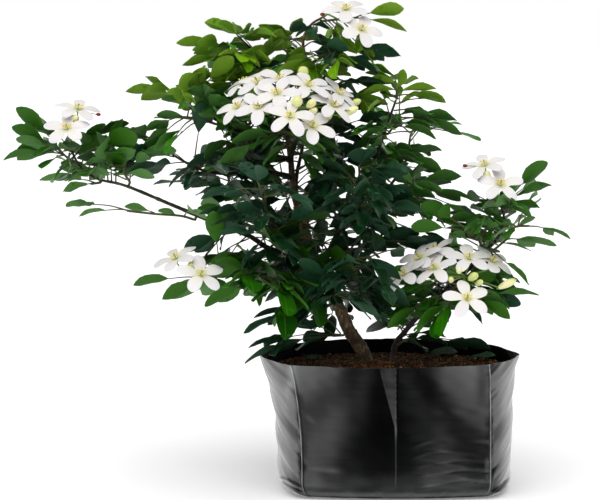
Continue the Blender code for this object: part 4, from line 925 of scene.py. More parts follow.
def extra_leaf(rng, base, heading, radius, turn_number, crowd, fixed, size):
    """Return one more leaf from a stem's surface, or None where it would show outside or cross something."""
    side = heading.orthogonal().normalized()
    out = Matrix.Rotation(turn_number * GOLDEN_TURN, 3, heading) @ side
    level = out - SKY * out.z * 0.7
    lift = rng.uniform(*(LIFT if base.z > LOW_CROWN else HANG))
    aim = (level + heading * rng.uniform(0.0, 0.4) + SKY * (lift + 0.25 * out.y)).normalized()
    start = base + out * (radius + GAP)
    tip = start + aim * rng.uniform(1.7, 2.2) * size
    if not in_crown(tip) or not cad_low.y / MM < tip.y < cad_high.y / MM or tip.z < BAG_RIM + RIM_CLEAR:
        return None
    turn = rng.uniform(*(FRONT_TILT if tip.y < BACK_FROM else BACK_TILT))
    near = crowd.near((start + tip) / 2, NEIGHBOURS)
    leaf = place_leaf(rng, start, tip, rng.choice((3, 3, 5)), size, turn, fixed + near, [])
    if leaf is None:
        return None
    leaf.blades = [b for b in leaf.blades
                   if all(in_crown(b.frame @ Vector((b.length * t, 0.0, 0.0))) for t in (0.55, 1.0))]
    return leaf if leaf.blades else None


print("degrees from one leaf to the next:", round(math.degrees(GOLDEN_TURN), 1))

# %% [markdown]
# ## Growing the extra leaves
# The rule now runs along every stem and every twig. Where a leaf finds no room, four turns of it are tried,
# and then its place stays empty, as happens on a real shoot.

# %% Grow the extra leaves
SOIL_LEVEL = 120.5  # height of the soil at the wall of the bag
EXTRA_SIZE = (25.0, 35.0)  # length of the leaflets
BARE_FOOT = SOIL_LEVEL + 30.0  # stems are bare below this height
BARE_RADIUS = 5.5  # and where they are thicker than this
BARE_STRETCH = {"left_long": (0.3, 0.78)}  # part of a branch that the photograph shows bare

crowd = Crowd()
for spray in sprays:
    for leaf in spray.leaves:
        crowd.add(leaf)
extra = {}
lines = list(carriers.items()) + [(f"twig_{k:02d}", spray.twig) for k, spray in enumerate(sprays, 1)]
for name, route in lines:
    rng = random.Random("more " + name)
    extra[name] = []
    close = name in CLOSE_LINES or name.startswith("twig")
    count = max(3, int(route.along[-1] / (CLOSE_SPACING if close else LEAF_SPACING)))
    bare_from, bare_to = BARE_STRETCH.get(name, (1.0, 1.0))
    for k in range(count):
        part = (k + 0.5) / count
        base, heading, radius = route.at(part)
        if base.z < BARE_FOOT or radius > BARE_RADIUS or bare_from < part < bare_to:
            continue
        for attempt in range(4):
            size = rng.uniform(*EXTRA_SIZE) * BROAD_LINES.get(name, 1.0)
            leaf = extra_leaf(rng, base, heading, radius, k + attempt * 0.37, crowd, fixed, size)
            if leaf:
                crowd.add(leaf)
                extra[name].append(leaf)
                break
print("extra leaves:", sum(map(len, extra.values())), "leaflets in all:", len(crowd.patches))

# %% [markdown]
# ## Writing a mesh from arrays
# Every fine piece is gathered from many small surfaces and written in one go with foreach_set. The gatherer
# keeps a UV and a tint for each point, and a material number for each face.

# %% Gather surfaces into one piece
class Gather:
    """Collects surfaces for one piece: their points, faces, UVs, tints and material numbers."""

    def __init__(self):
        self.points = []
        self.uvs = []
        self.tints = []
        self.faces = []
        self.slots = []
        self.count = 0

    def add(self, points, faces, slot=0, uv=(0.0, 0.0), tint=(0.5, 0.0, 0.0)):
        """Add one surface; faces are groups of equal size, and one UV or tint may serve all its points."""
        points = np.asarray(points, dtype=float).reshape(-1, 3)
        self.points.append(points)
        self.uvs.append(np.broadcast_to(np.asarray(uv, dtype=float), (len(points), 2)))
        self.tints.append(np.broadcast_to(np.asarray(tint, dtype=float), (len(points), 3)))
        for group in faces:
            self.faces.append(np.asarray(group) + self.count)
            self.slots.append(np.full(len(group), slot))
        self.count += len(points)

    def write(self, name, materials, sharp_angle=40.0):
        """Return the finished object, at the origin, with its place in its mesh."""
        mesh = bpy.data.meshes.new(name)
        points = np.concatenate(self.points) * MM
        corners = np.concatenate([group.ravel() for group in self.faces])
        sizes = np.concatenate([np.full(len(group), group.shape[1]) for group in self.faces])
        mesh.vertices.add(len(points))
        mesh.vertices.foreach_set("co", points.astype(np.float32).ravel())
        mesh.loops.add(len(corners))
        mesh.loops.foreach_set("vertex_index", corners.astype(np.int32))
        mesh.polygons.add(len(sizes))
        mesh.polygons.foreach_set("loop_start", (np.cumsum(sizes) - sizes).astype(np.int32))
        mesh.polygons.foreach_set("material_index", np.concatenate(self.slots).astype(np.int32))
        mesh.update(calc_edges=True)
        uv = mesh.uv_layers.new(name="UVMap")
        uv.data.foreach_set("uv", np.concatenate(self.uvs)[corners].astype(np.float32).ravel())
        tints = np.concatenate(self.tints)
        tints = np.column_stack([tints, np.ones(len(tints))])
        tint = mesh.color_attributes.new("tint", "FLOAT_COLOR", "POINT")
        tint.data.foreach_set("color", tints.astype(np.float32).ravel())
        mesh.shade_smooth()
        mesh.set_sharp_from_angle(angle=math.radians(sharp_angle))
        thing = bpy.data.objects.new(name, mesh)
        bpy.context.scene.collection.objects.link(thing)
        for material in materials:
            mesh.materials.append(material)
        return thing

# %% [markdown]
# ## Joining a piece to its body, and random fields
# Nothing on this plant moves, so every piece rides on the one body. Bark, film and soil are uneven at several
# scales at once, and a sum of sine waves in random directions gives that without seams.

# %% Joining and ripples
def settle(thing, slot, *nodes):
    """Let a piece ride on the one body and hide the solids of the nodes that it stands for; the slot is not
    used.
    """
    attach(thing, "root")
    if nodes:
        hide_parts(*nodes)
    return thing


def ripple(points, wave, seed, stretch=(1.0, 1.0, 1.0)):
    """Return a smooth random field from -1 to 1: the mean of sine waves of about one wavelength."""
    rng = np.random.default_rng(seed)
    waves = 14
    rates = unit(rng.normal(size=(waves, 3))) * 2 * np.pi / (wave * rng.uniform(0.7, 1.4, (waves, 1)))
    rates = rates / np.array(stretch)
    phases = rng.uniform(0, 2 * np.pi, waves)
    return np.sin(points @ rates.T + phases).mean(axis=-1) * 2.0


print("a ripple at one point:", round(float(ripple(np.zeros(3), 10.0, 1)), 2))

# %% [markdown]
# ## Materials
# Each finish starts from the real material. Colours are written as they look on a screen and turned to
# linear values by one function, and one small function adds a node with its settings and links.

# %% Helpers for materials
def linear(hex_colour):
    """Turn an sRGB hex colour into the linear values that a shader uses."""
    parts = [int(hex_colour[k:k + 2], 16) / 255 for k in (1, 3, 5)]
    return tuple(c / 12.92 if c <= 0.04045 else ((c + 0.055) / 1.055) ** 2.4 for c in parts) + (1.0,)


def add_node(tree, kind, settings=None, links=None):
    """Add one shader node. Settings are its own values or its sockets'; links are {socket: node or output}.

    The second word of a kind is its operation, or the type of data that it mixes. A hex colour is made
    linear. A ramp's stops are rows of (place, colour). A linked node gives its first output.
    """
    kind, _, mode = kind.partition(" ")
    made = tree.nodes.new("ShaderNode" + kind)
    if mode:
        setattr(made, "data_type" if kind == "Mix" else "operation", mode)
    for key, value in (settings or {}).items():
        if key == "stops":
            elements = made.color_ramp.elements
            while len(elements) < len(value):
                elements.new(0.5)
            for element, (place, colour) in zip(elements, value):
                element.position = place
                element.color = linear(colour) if isinstance(colour, str) else colour
        elif isinstance(key, str) and hasattr(made, key):
            setattr(made, key, value)
        else:
            made.inputs[key].default_value = linear(value) if isinstance(value, str) else value
    for key, source in (links or {}).items():
        output = source if isinstance(source, bpy.types.NodeSocket) else source.outputs[0]
        tree.links.new(output, made.inputs[key])
    return made


def new_material(name):
    """Return a new material without nodes, and the function that adds nodes to it."""
    material = bpy.data.materials.new(name)
    material.use_nodes = True
    material.node_tree.nodes.clear()
    return material, partial(add_node, material.node_tree)


def finished(material, node, settings, links):
    """Return the material with its shader, which gets these settings and links."""
    node("OutputMaterial", {}, {"Surface": node("BsdfPrincipled", settings, links)})
    return material


print("mid grey as a shader sees it:", round(linear("#808080")[0], 3))

# %% [markdown]
# ## Leaf blades
# An orange jasmine leaflet is thick, glossy and dark above and paler and duller below, with a pale midrib
# and faint side veins. The veins are too fine to model on a thousand leaflets, so the material draws them
# from each leaflet's own UV map: u runs across the blade and v from its stalk to its tip.

# %% Leaf material
SIDE_VEINS = 9.0  # pairs of side veins on a leaflet
VEIN_SLANT = 3.2  # how far a side vein climbs from the midrib to the edge, in vein spacings
FULL_TURN = 2.0 * math.pi


def leaf_material(name, dark, light, vein, under, shine):
    """Fresh leaf tissue with a waxy skin: dark and light are the blade's range, under is its lower face."""
    material, node = new_material(name)
    place = node("TexCoord")
    split = node("SeparateXYZ", {}, {0: place.outputs["UV"]})
    tint = node("Attribute", {"attribute_name": "tint"})
    parts = node("SeparateColor", {}, {0: tint})
    # The midrib is a band at the middle, and the side veins are the crests of a wave that climbs to the edge.
    off_middle = node("Math SUBTRACT", {1: 0.5}, {0: split})
    from_rib = node("Math ABSOLUTE", {}, {0: off_middle})
    along = node("Math MULTIPLY", {1: FULL_TURN * SIDE_VEINS}, {0: split.outputs["Y"]})
    climb = node("Math MULTIPLY_ADD", {1: -2 * FULL_TURN * VEIN_SLANT}, {0: from_rib, 2: along})
    wave = node("Math SINE", {}, {0: climb})
    rib = node("MapRange", {1: 0.034, 2: 0.018, 4: 0.6}, {0: from_rib})
    side_vein = node("MapRange", {1: 0.86, 2: 0.98, 4: 0.3}, {0: wave})
    veins = node("Math MAXIMUM", {}, {0: rib, 1: side_vein})
    # Age comes from the tint, and a cloudy pattern some 11 mm wide keeps a blade from being flat.
    cloud = node("TexNoise", {"Scale": 0.09 / MM, "Detail": 3.0}, {0: place.outputs["Object"]})
    grain = node("TexNoise", {"Scale": 1.4 / MM}, {0: place.outputs["Object"]})
    age = node("Math MULTIPLY", {1: 0.62}, {0: parts})
    shade = node("Math MULTIPLY_ADD", {1: 0.45}, {0: cloud, 2: age})
    blade = node("ValToRGB", {"stops": [(0.15, dark), (0.85, light)]}, {0: shade})
    veined = node("Mix RGBA", {7: vein}, {0: veins, 6: blade})
    colour = node("Mix RGBA", {7: under}, {0: parts.outputs[1], 6: veined.outputs[2]})
    wax = node("Math MULTIPLY_ADD", {1: 0.22, 2: 0.22}, {0: parts.outputs[1]})
    rough = node("Math MULTIPLY_ADD", {1: 0.16}, {0: grain, 2: wax})
    height = node("Math MULTIPLY_ADD", {1: -6.0}, {0: rib, 2: wave})
    skin = node("Bump", {"Strength": 0.4, "Distance": 0.10 * MM}, {"Height": grain})
    skin = node("Bump", {"Strength": 0.55, "Distance": 0.03 * MM}, {"Height": height, "Normal": skin})
    return finished(material, node, {"IOR": 1.46, "Specular IOR Level": shine},
                    {"Base Color": colour.outputs[2], "Roughness": rough, "Normal": skin})


# The young tone also paints the light on top of the crown, and the deep tone paints the shade inside it
LEAF_FINISHES = {
    "young": leaf_material("young_and_lit_leaf_waxy", "#2f7000", "#72a60c", "#9cba3e", "#78a02c", 0.24),
    "bright": leaf_material("glossy_leaf_vivid", "#0a3e02", "#277004", "#508a24", "#346614", 0.24),
    "mid": leaf_material("glossy_leaf_green", "#154e08", "#3d8216", "#669a42", "#487832", 0.34),
    "deep": leaf_material("shaded_leaf_dark_green", "#041c08", "#14421e", "#346640", "#224a30", 0.44),
}
print("leaf materials:", ", ".join(LEAF_FINISHES))

# %% [markdown]
# ## Soft tissue
# Green twigs, buds and stamens are soft tissue of one colour that is never quite even. They are too small for
# drawn detail, so one material in two close colours with a fine skin serves them all.

# %% Plain soft tissue
def plain_tissue(name, low, high, rough, grain_mm):
    """Soft plant tissue in two close colours, mottled at a scale of some tenths of a millimetre."""
    material, node = new_material(name)
    place = node("TexCoord")
    tint = node("Attribute", {"attribute_name": "tint"})
    parts = node("SeparateColor", {}, {0: tint})
    scale = 1.0 / (grain_mm * MM)
    grain = node("TexNoise", {"Scale": scale, "Detail": 3.0}, {0: place.outputs["Object"]})
    age = node("Math MULTIPLY", {1: 0.7}, {0: parts})
    shade = node("Math MULTIPLY_ADD", {1: 0.4}, {0: grain, 2: age})
    colour = node("ValToRGB", {"stops": [(0.2, low), (0.8, high)]}, {0: shade})
    skin = node("Bump", {"Strength": 0.5, "Distance": 0.15 * MM}, {"Height": grain})
    return finished(material, node, {"Roughness": rough}, {"Base Color": colour, "Normal": skin})


TWIG = plain_tissue("young_bark_green", "#27421c", "#54502e", 0.6, 5.0)
print("made", TWIG.name)

# %% [markdown]
# ## Thin blades as arrays
# Leaflets and petals are thin closed shells on a small grid: an upper face, a lower face and a rim. A
# subdivided plane with a solidify modifier would do it for one, but there are two thousand. As arrays they
# are all bent at once, each by its own numbers.

# %% Blades as arrays
def shell_faces(rows, columns):
    """Return the faces of two grids, one above the other, closed round their edge."""
    top = grid_faces(rows, columns).reshape(-1, 4)[:, ::-1]
    below = top[:, ::-1] + rows * columns
    index = np.arange(rows * columns).reshape(rows, columns)
    edge = np.concatenate([index[:-1, 0], index[-1, :-1], index[:0:-1, -1], index[0, :0:-1]])
    after = np.roll(edge, -1)
    rim = np.stack([edge + rows * columns, after + rows * columns, after, edge], axis=-1)
    return np.concatenate([top, below, rim])


def blade_shells(frames, length, width, along, across, outline, height, thick):
    """Return closed blades as an array (blade, face, row, column, xyz).

    x is length * t, y is half the width * outline(t) * s, and z is height(t, s, y), with half the thickness
    added above and taken off below.
    """
    t = along[None, :, None]
    s = across[None, None, :]
    x = length[:, None, None] * t + 0.0 * s
    y = width[:, None, None] / 2 * outline(t) * s
    z = height(t, s, y)
    half = thick / 2 * (1.0 - 0.5 * np.abs(s) ** 2) * np.ones_like(x)
    local = np.stack([np.stack([x, y, z + half], -1), np.stack([x, y, z - half], -1)], axis=1)
    return np.einsum("nij,nfrcj->nfrci", frames[:, :3, :3], local) + frames[:, None, None, None, :3, 3]


def add_blades(piece, points, along, across, tint):
    """Add closed blades: their UV runs across each and along it, and the tint has a value for each point."""
    u, v = np.meshgrid(across / 2 + 0.5, along)
    uv = np.broadcast_to(np.stack([u, v], -1), points.shape[:-1] + (2,)).reshape(-1, 2)
    shell = shell_faces(len(along), len(across))
    faces = shell[None] + np.arange(len(points))[:, None, None] * (points[0].size // 3)
    piece.add(points, [faces.reshape(-1, 4)], 0, uv, tint.reshape(-1, 3))


def vary(rng, low, high, count):
    """Return a random number for each blade, in a shape that spreads over the blade's rows and columns."""
    return rng.uniform(low, high, count)[:, None, None]


print("faces of a blade of eight rows and three columns:", len(shell_faces(8, 3)))

# %% [markdown]
# ## Leaflet surfaces
# A leaflet folds a little along its midrib, droops to its tip and waves at its edge. Eight rows by three
# columns keep it at a few dozen faces, which is enough at this size and leaves room for many leaves.

# %% Leaflets
LEAF_ALONG = np.array([0.0, 0.09, 0.25, 0.45, 0.65, 0.82, 0.94, 1.0])
LEAF_ACROSS = np.array([-1.0, 0.0, 1.0])
BLADE_THICK = 0.4
WAVES = 1.6  # waves along a leaflet's edge
# How much fuller a leaflet is than its solid, and its age, from 0 for old and dark to 1 for young and light;
# the tones of the top and of the inside also paint light and shade
TONE = {"young": (1.05, 0.6), "bright": (1.22, 0.5), "mid": (1.10, 0.5), "deep": (1.10, 0.45)}


def leaf_outline(t):
    """Half width of a leaflet: widest past the middle, narrow at the stalk and blunt at the tip."""
    return np.maximum(0.08, np.sin(np.pi * np.clip(t, 0, 1) ** 1.28) ** 0.66)


def add_leaflets(piece, blades, rng, tone):
    """Add many leaflets to a piece, with the fullness and the age of their tone.

    The height is the droop times t squared, plus a fold that rises from the midrib, a wave along the edge
    and a twist that grows to the tip.
    """
    count = len(blades)
    wide, age = TONE[tone]
    frames = np.array([np.array(b.frame) for b in blades])
    length = np.array([b.length for b in blades])
    width = wide * np.array([b.width for b in blades])
    droop = np.array([b.droop for b in blades])[:, None, None]
    fold = vary(rng, 0.10, 0.34, count)
    wavy = vary(rng, 0.2, 1.0, count)
    phase = vary(rng, 0, 2 * np.pi, count)
    twist = vary(rng, -0.22, 0.22, count)

    def height(t, s, y):
        """Return the height of the middle face."""
        bend = -droop * t ** 2 * length[:, None, None]
        crease = fold * np.abs(y) - 0.35 * (s == 0.0)
        wave = wavy * np.sin(2 * np.pi * WAVES * t + phase + np.pi * (s > 0)) * s ** 2
        return bend + crease + wave + twist * y * t

    points = blade_shells(frames, length, width, LEAF_ALONG, LEAF_ACROSS, leaf_outline, height, BLADE_THICK)
    tint = np.zeros(points.shape)
    tint[..., 0] = (age + rng.uniform(-0.5, 0.5, count))[:, None, None, None]
    tint[:, 1, :, :, 1] = 1.0
    add_blades(piece, points, LEAF_ALONG, LEAF_ACROSS, tint)


print("points of a leaflet:", 2 * len(LEAF_ALONG) * len(LEAF_ACROSS))

# %% [markdown]
# ## Dressing the sprays
# Each planned spray becomes one piece: its leaflets in the waxy material of its tone, and its green stalks
# and twig as smooth tubes. It takes the place of the plain solid of the same spray.

# %% Dress the sprays
def add_tube(piece, knots, radii, sides, slot, step=4.0):
    """Add a smooth closed tube through the knots, tapering between the radii given at them."""
    curve = smooth([Vector((*p, r)) for p, r in zip(knots, radii)], step)
    rings = tube_rings([p[:3] for p in curve], [p[3] for p in curve], sides)
    piece.add(rings, tube_faces(len(rings), sides), slot)


def dress(name, leaves, tone, twig=None, *nodes):
    """Make one piece of some leaves, with their stalks and perhaps the twig that carries them."""
    piece = Gather()
    add_leaflets(piece, [blade for leaf in leaves for blade in leaf.blades], array_rng, tone)
    for leaf in leaves:
        knots = leaf.line.points
        add_tube(piece, knots, np.linspace(0.85, 0.5, len(knots)), 5, 1, 6.0)
    if twig:
        add_tube(piece, twig.points, twig.radii, 6, 1)
    settle(piece.write(name, [LEAF_FINISHES[tone], TWIG]), "leaf_" + tone, *nodes)


array_rng = np.random.default_rng(7)
for number, spray in enumerate(sprays, 1):
    dress(f"jasmine_spray_{number:02d}", spray.leaves, spray.tone, spray.twig, spray.name)
print("sprays dressed:", len(sprays))

# %% [markdown]
# ## Dressing the extra leaves
# The extra leaves of one stem and one tone become one piece each. Young leaves are lighter and stand at the
# top, where they get the light, which their light tone also paints; the leaves inside the crown are old, and
# their dark tone also paints the shade there.

# %% Dress the extra leaves
EXTRA_TONE = {
    "trunk": "deep", "right_fork": "deep", "right_light": "mid", "left_long": "bright", "left_mid": "deep",
    "left_upper": "mid", "left_low": "bright", "front_top": "mid", "top_left": "mid", "back_left": "mid",
    "back_right": "mid", "back_mid": "mid", "back_low": "deep", "front_low": "deep", "front_mid": "deep",
    "front_left": "deep", "second_stem": "mid", "shoot_head": "bright", "shoot_back": "deep",
}
HIGH_CROWN = 385.0  # three in five front leaves above this get the light and are young
SUNNY_DEPTH = 25.0  # how deep in the crown the light still reaches
for k, spray in enumerate(sprays, 1):
    EXTRA_TONE[f"twig_{k:02d}"] = spray.tone
for name, leaves in extra.items():
    groups = {}
    for k, leaf in enumerate(leaves):
        end = leaf.line.points[-1]
        tone = EXTRA_TONE[name]
        if end.z > HIGH_CROWN and end.y < SUNNY_DEPTH and k % 5 < 3:
            tone = "young"
        elif tone == "bright" and k % 4 == 0:
            tone = "mid"
        groups.setdefault(tone, []).append(leaf)
    for tone, group in groups.items():
        dress(f"leaves_on_{name}_{tone}", group, tone)
print("stems and twigs that carry extra leaves:", sum(1 for leaves in extra.values() if leaves))

# %% [markdown]
# ## Bark
# The trunk is grey-brown and rough, with short upright cracks; the second stem is smooth and dark purple.
# The solids are eight-sided tubes, so finer tubes with a raised bark stand in for them.

# %% Bark materials
def bark_material(name, dark, mid, light, crack_mm, depth_mm):
    """Dry bark: grey-brown patches, darker in its upright cracks, quite matt."""
    material, node = new_material(name)
    place = node("TexCoord")
    tall = node("Mapping", {"Scale": (1.0, 1.0, 0.22)}, {0: place.outputs["Object"]})
    scale = 1.0 / (crack_mm * MM)
    cracks = node("TexVoronoi", {"feature": "DISTANCE_TO_EDGE", "Scale": scale}, {0: tall})
    cloud = node("TexNoise", {"Scale": 0.12 / MM, "Detail": 5.0}, {0: place.outputs["Object"]})
    fine = node("TexNoise", {"Scale": 0.9 / MM, "Detail": 4.0}, {0: tall})
    base = node("ValToRGB", {"stops": [(0.32, dark), (0.52, mid), (0.70, light)]}, {0: cloud})
    closed = node("MapRange", {1: 0.0, 2: 0.18}, {0: cracks})
    colour = node("Mix RGBA", {6: dark}, {0: closed, 7: base})
    rough = node("Math MULTIPLY_ADD", {1: 0.25, 2: 0.62}, {0: fine})
    skin = node("Bump", {"Strength": 0.7, "Distance": 0.5 * MM}, {"Height": fine})
    deep = {"Strength": 0.8, "Distance": depth_mm * MM}
    skin = node("Bump", deep, {"Height": cracks, "Normal": skin})
    return finished(material, node, {}, {"Base Color": colour.outputs[2], "Roughness": rough, "Normal": skin})


BARK = bark_material("bark_grey_brown", "#3a2f22", "#7c6547", "#ab9068", 3.4, 0.7)
YOUNG_BARK = bark_material("bark_young_dark_green", "#161a10", "#2f3320", "#57553c", 2.2, 0.3)
DARK_BARK = bark_material("bark_dark_purple", "#1c1216", "#3a2a30", "#5a4a48", 2.6, 0.4)
print("barks:", BARK.name, YOUNG_BARK.name, DARK_BARK.name)

# %% [markdown]
# ## Stems with raised bark
# Bump alone leaves an outline smooth, so the larger ripples of the bark are moved points, and only the fine
# cracks are bump. Rings mark where old leaves stood, and each branch swells where it leaves its stem.

# %% Stems with raised bark
def add_stem(piece, route, sides, rough, step=3.0, flare=0.5, seed=1, slot=0):
    """Add one stem: a tube whose surface rises and falls with upright ripples and swells at its foot.

    The radius is the route's, times 1 + flare at the foot, which fades over 2.2 radii, plus a small ring
    every 15 mm or so, where an old leaf stood, and the bark's ripples.
    """
    curve = smooth([Vector((*p, r)) for p, r in zip(route.points, route.radii)], step)
    line = np.array([tuple(p[:3]) for p in curve])
    radii = np.array([p[3] for p in curve])
    along = np.concatenate([[0.0], np.cumsum(np.linalg.norm(np.diff(line, axis=0), axis=1))])
    swell = 1.0 + flare * np.exp(-along / (2.2 * radii[0]))
    spacing = 15.0 + 3.0 * np.sin(along / 37.0 + seed)
    ring = 0.13 * np.exp(-((along % spacing - spacing / 2) / 1.4) ** 2)
    rings = tube_rings(line, radii * (swell + ring), sides)
    lift = ripple(rings, 6.0, seed, (1.0, 1.0, 3.5)) + 0.5 * ripple(rings, 2.6, seed + 1, (1.0, 1.0, 2.5))
    lift = rough * lift
    thin = np.minimum(1.0, radii / 4.0)      # thin stems are smoother
    rings = rings + unit(rings - line[:, None]) * lift[..., None] * thin[:, None, None]
    piece.add(rings, tube_faces(len(rings), sides), slot)


piece = Gather()
add_stem(piece, carriers["trunk"], 22, 0.32, 2.5, 0.12, 0)
for k, name in enumerate(BRANCH_ROUTES, 1):
    add_stem(piece, carriers[name], 12, 0.32, 3.5, 0.55, k, 0 if name == "right_fork" else 1)
settle(piece.write("trunk_bark", [BARK, YOUNG_BARK]), "bark", "trunk")
piece = Gather()
for k, name in enumerate(["second_stem", *SHOOT_ROUTES]):
    add_stem(piece, carriers[name], 16 if k == 0 else 10, 0.14, 3.0, 0.15 if k == 0 else 0.5, 40 + k)
settle(piece.write("second_stem_bark", [DARK_BARK]), "dark_bark", "second_stem")
print("points of the second stem:", piece.count)

# %% [markdown]
# ## Flowers
# A jasmine flower is five waxy white petals, ten stamens with yellow tips and one green style. Petals let a
# little light through, so their material has some subsurface scattering, and a claw of faint green keeps the
# white from looking like paper. Stamens, buds and bracts share the plain tissue in colours of their own.

# %% Flower materials
def petal_material():
    """Waxy petal tissue: warm white, faintly green at its claw, with fine long veins and a soft skin."""
    material, node = new_material("petal_waxy_white")
    place = node("TexCoord")
    split = node("SeparateXYZ", {}, {0: place.outputs["UV"]})
    tint = node("Attribute", {"attribute_name": "tint"})
    parts = node("SeparateColor", {}, {0: tint})
    rows = node("Math MULTIPLY", {1: 9.0 * FULL_TURN}, {0: split})
    stripes = node("Math SINE", {}, {0: rows})
    body = node("ValToRGB", {"stops": [(0.0, "#cfd596"), (0.22, "#e6e3d8"), (1.0, "#e9e6e8")]},
                {0: split.outputs["Y"]})
    # painted shade: the tint mixes in a grey-lilac, at random on each petal and more on its lower face
    share = node("Math MULTIPLY", {1: 0.5}, {0: parts})
    shaded = node("Mix RGBA", {7: "#d3ccd8"}, {0: share, 6: body})
    vein = node("MapRange", {1: 0.8, 2: 1.0, 4: 0.3}, {0: stripes})
    veined = node("Mix RGBA", {7: "#c8c1cd"}, {0: vein, 6: shaded.outputs[2]})
    skin = node("Bump", {"Strength": 0.5, "Distance": 0.10 * MM}, {"Height": stripes})
    soft = {"Subsurface Weight": 0.12, "Subsurface Scale": 2.0 * MM, "Subsurface Radius": (0.9, 0.9, 0.8)}
    return finished(material, node, {"Roughness": 0.5, **soft},
                    {"Base Color": veined.outputs[2], "Normal": skin})


PETAL = petal_material()
POLLEN = plain_tissue("stamen_tip_yellow", "#e3b92c", "#f6e263", 0.7, 0.6)
FILAMENT = plain_tissue("stamen_stalk_cream", "#efe6c0", "#fbf8e6", 0.5, 1.5)
BUD_SKIN = plain_tissue("bud_skin_yellow_green", "#b4c455", "#f1edb4", 0.45, 3.0)
CALYX = plain_tissue("calyx_green", "#4d7426", "#7fa044", 0.55, 1.2)
WITHERED = plain_tissue("withered_bract_red_brown", "#4a1c12", "#8a3420", 0.7, 1.0)
print("materials so far:", len(bpy.data.materials))

# %% [markdown]
# ## Petals
# A petal rises from its claw, curls back at its end and is cupped across. It could be sculpted once and
# copied, but equal petals look like a toy; here each has its own width, cup, curl and wave.

# %% Petals
PETAL_ALONG = np.array([0.0, 0.12, 0.28, 0.46, 0.64, 0.80, 0.91, 0.97, 1.0])
PETAL_ACROSS = np.array([-1.0, -0.6, 0.0, 0.6, 1.0])
PETAL_FULL = 12.8  # full width of a petal, with its round edges
PETAL_THIN = 0.45
WIDEST = 0.62  # part of its length where a petal is widest


def petal_outline(t):
    """Half width of a petal: a slim claw, widest at two thirds, and a round end."""
    rise = 0.42 + 0.58 * np.sin(np.pi / 2 * np.clip(t / WIDEST, 0, 1)) ** 1.2
    close = np.sqrt(np.clip(1.0 - (np.clip(t - WIDEST, 0, 1) / 0.385) ** 2, 0.0, 1.0))
    return np.maximum(0.12, rise * close)


def add_petals(piece, flower, rng):
    """Add a flower's five petals.

    The height rises with t and falls with t squared times the curl; the cup lifts the edges near the claw,
    and a wave lifts one edge while it lowers the other.
    """
    frames = np.array([np.array(m) for m in flower.petals()])
    length = np.array(flower.lengths)
    width = PETAL_FULL * rng.uniform(0.90, 1.08, 5)
    cup = vary(rng, 0.08, 0.24, 5)
    curl = vary(rng, 0.85, 1.5, 5)
    phase = vary(rng, 0, 2 * np.pi, 5)

    def height(t, s, y):
        """Return the height of the middle face."""
        lift = (0.34 * t - 0.30 * curl * t ** 2) * length[:, None, None]
        cupped = cup * np.abs(y) * (1.0 - t)
        return lift + cupped - 0.10 * np.abs(y) * t + 0.45 * np.sin(5.5 * t + phase) * s ** 2 * s

    points = blade_shells(frames, length, width, PETAL_ALONG, PETAL_ACROSS, petal_outline, height, PETAL_THIN)
    tint = np.zeros(points.shape)
    # the tint's red sets the grey-lilac painted shade: random on each petal, and more on its lower face
    tint[..., 0] = rng.uniform(0.0, 1.0, 5)[:, None, None, None] * 0.6
    tint[:, 1, :, :, 0] += 0.3
    add_blades(piece, points, PETAL_ALONG, PETAL_ACROSS, tint)


print("half width of a petal at its claw and its widest, in shares:", petal_outline(np.array([0.0, WIDEST])))

# %% [markdown]
# ## Stamens, style and buds
# They are all turned shapes: round rings along a short line. A screw modifier could turn each profile, but as
# rings they can be placed by the hundred. Every second stamen is shorter, as in the real flower.

# %% Stamens, style and buds
STAMENS = 10
ANTHER = [(0.0, 0.25), (0.5, 0.62), (1.4, 0.62), (1.9, 0.2)]  # (distance along, radius)
STYLE = [(0.0, 1.2), (1.6, 1.1), (2.6, 0.5), (5.2, 0.4), (5.6, 0.9), (6.4, 0.8), (6.7, 0.2)]


def add_spindle(piece, base, heading, profile, sides, slot, tint=0.5, grooves=0.0):
    """Add a closed turned shape: profile rows are (distance along, radius), with five grooves if asked."""
    rings = tube_rings([base + heading * d for d, _ in profile], [r for _, r in profile], sides)
    middle = rings.mean(axis=1, keepdims=True)
    angle = 2 * np.pi * np.arange(sides) / sides
    rings = middle + (rings - middle) * (1.0 - grooves * (0.5 + 0.5 * np.cos(5 * angle)))[None, :, None]
    piece.add(rings, tube_faces(len(rings), sides), slot, tint=(tint, 0.0, 0.0))


def add_stamens(piece, flower, rng):
    """Add a flower's stamens, each a bent thread with a bead at its end, and the style between them."""
    side = flower.facing.orthogonal().normalized()
    for k in range(STAMENS):
        angle = 2 * math.pi * (k + 0.3 * rng.random()) / STAMENS
        out = Matrix.Rotation(angle, 3, flower.facing) @ side
        reach = (5.8 if k % 2 else 4.4) * rng.uniform(0.9, 1.1)
        foot = flower.base + out * 0.9
        top = foot + (flower.facing + out * rng.uniform(0.35, 0.75)).normalized() * reach
        middle = foot.lerp(top, 0.5) + flower.facing * 0.5
        rings = tube_rings([foot, middle, top], [0.32, 0.26, 0.2], 4)
        piece.add(rings, tube_faces(3, 4), 0, tint=(rng.random(), 0.0, 0.0))
        tip = (out + flower.facing * rng.uniform(-0.4, 0.6)).normalized()
        add_spindle(piece, top - tip * 0.9, tip, ANTHER, 6, 1, rng.random())
    add_spindle(piece, flower.base, flower.facing, STYLE, 7, 2, 0.8)


def bud_profile(length, width):
    """Return a bud's outline: blunt at its foot, fullest past its middle, and rounded to its tip."""
    t = np.array([0.0, 0.06, 0.2, 0.4, 0.6, 0.78, 0.92, 0.985, 1.0])
    r = np.array([0.25, 0.46, 0.72, 0.93, 1.0, 0.88, 0.56, 0.25, 0.08])
    return list(zip(t * length, r * width / 2))


print("stamens in all:", STAMENS * sum(len(head["flowers"]) for head in heads.values()))

# %% [markdown]
# ## Dressing the flower heads
# Each head becomes three pieces: its petals, its stamens, and its buds with the green stalks and calyx cups.
# The small heads each have one withered bract beside them, which the photograph shows as a red-brown speck.

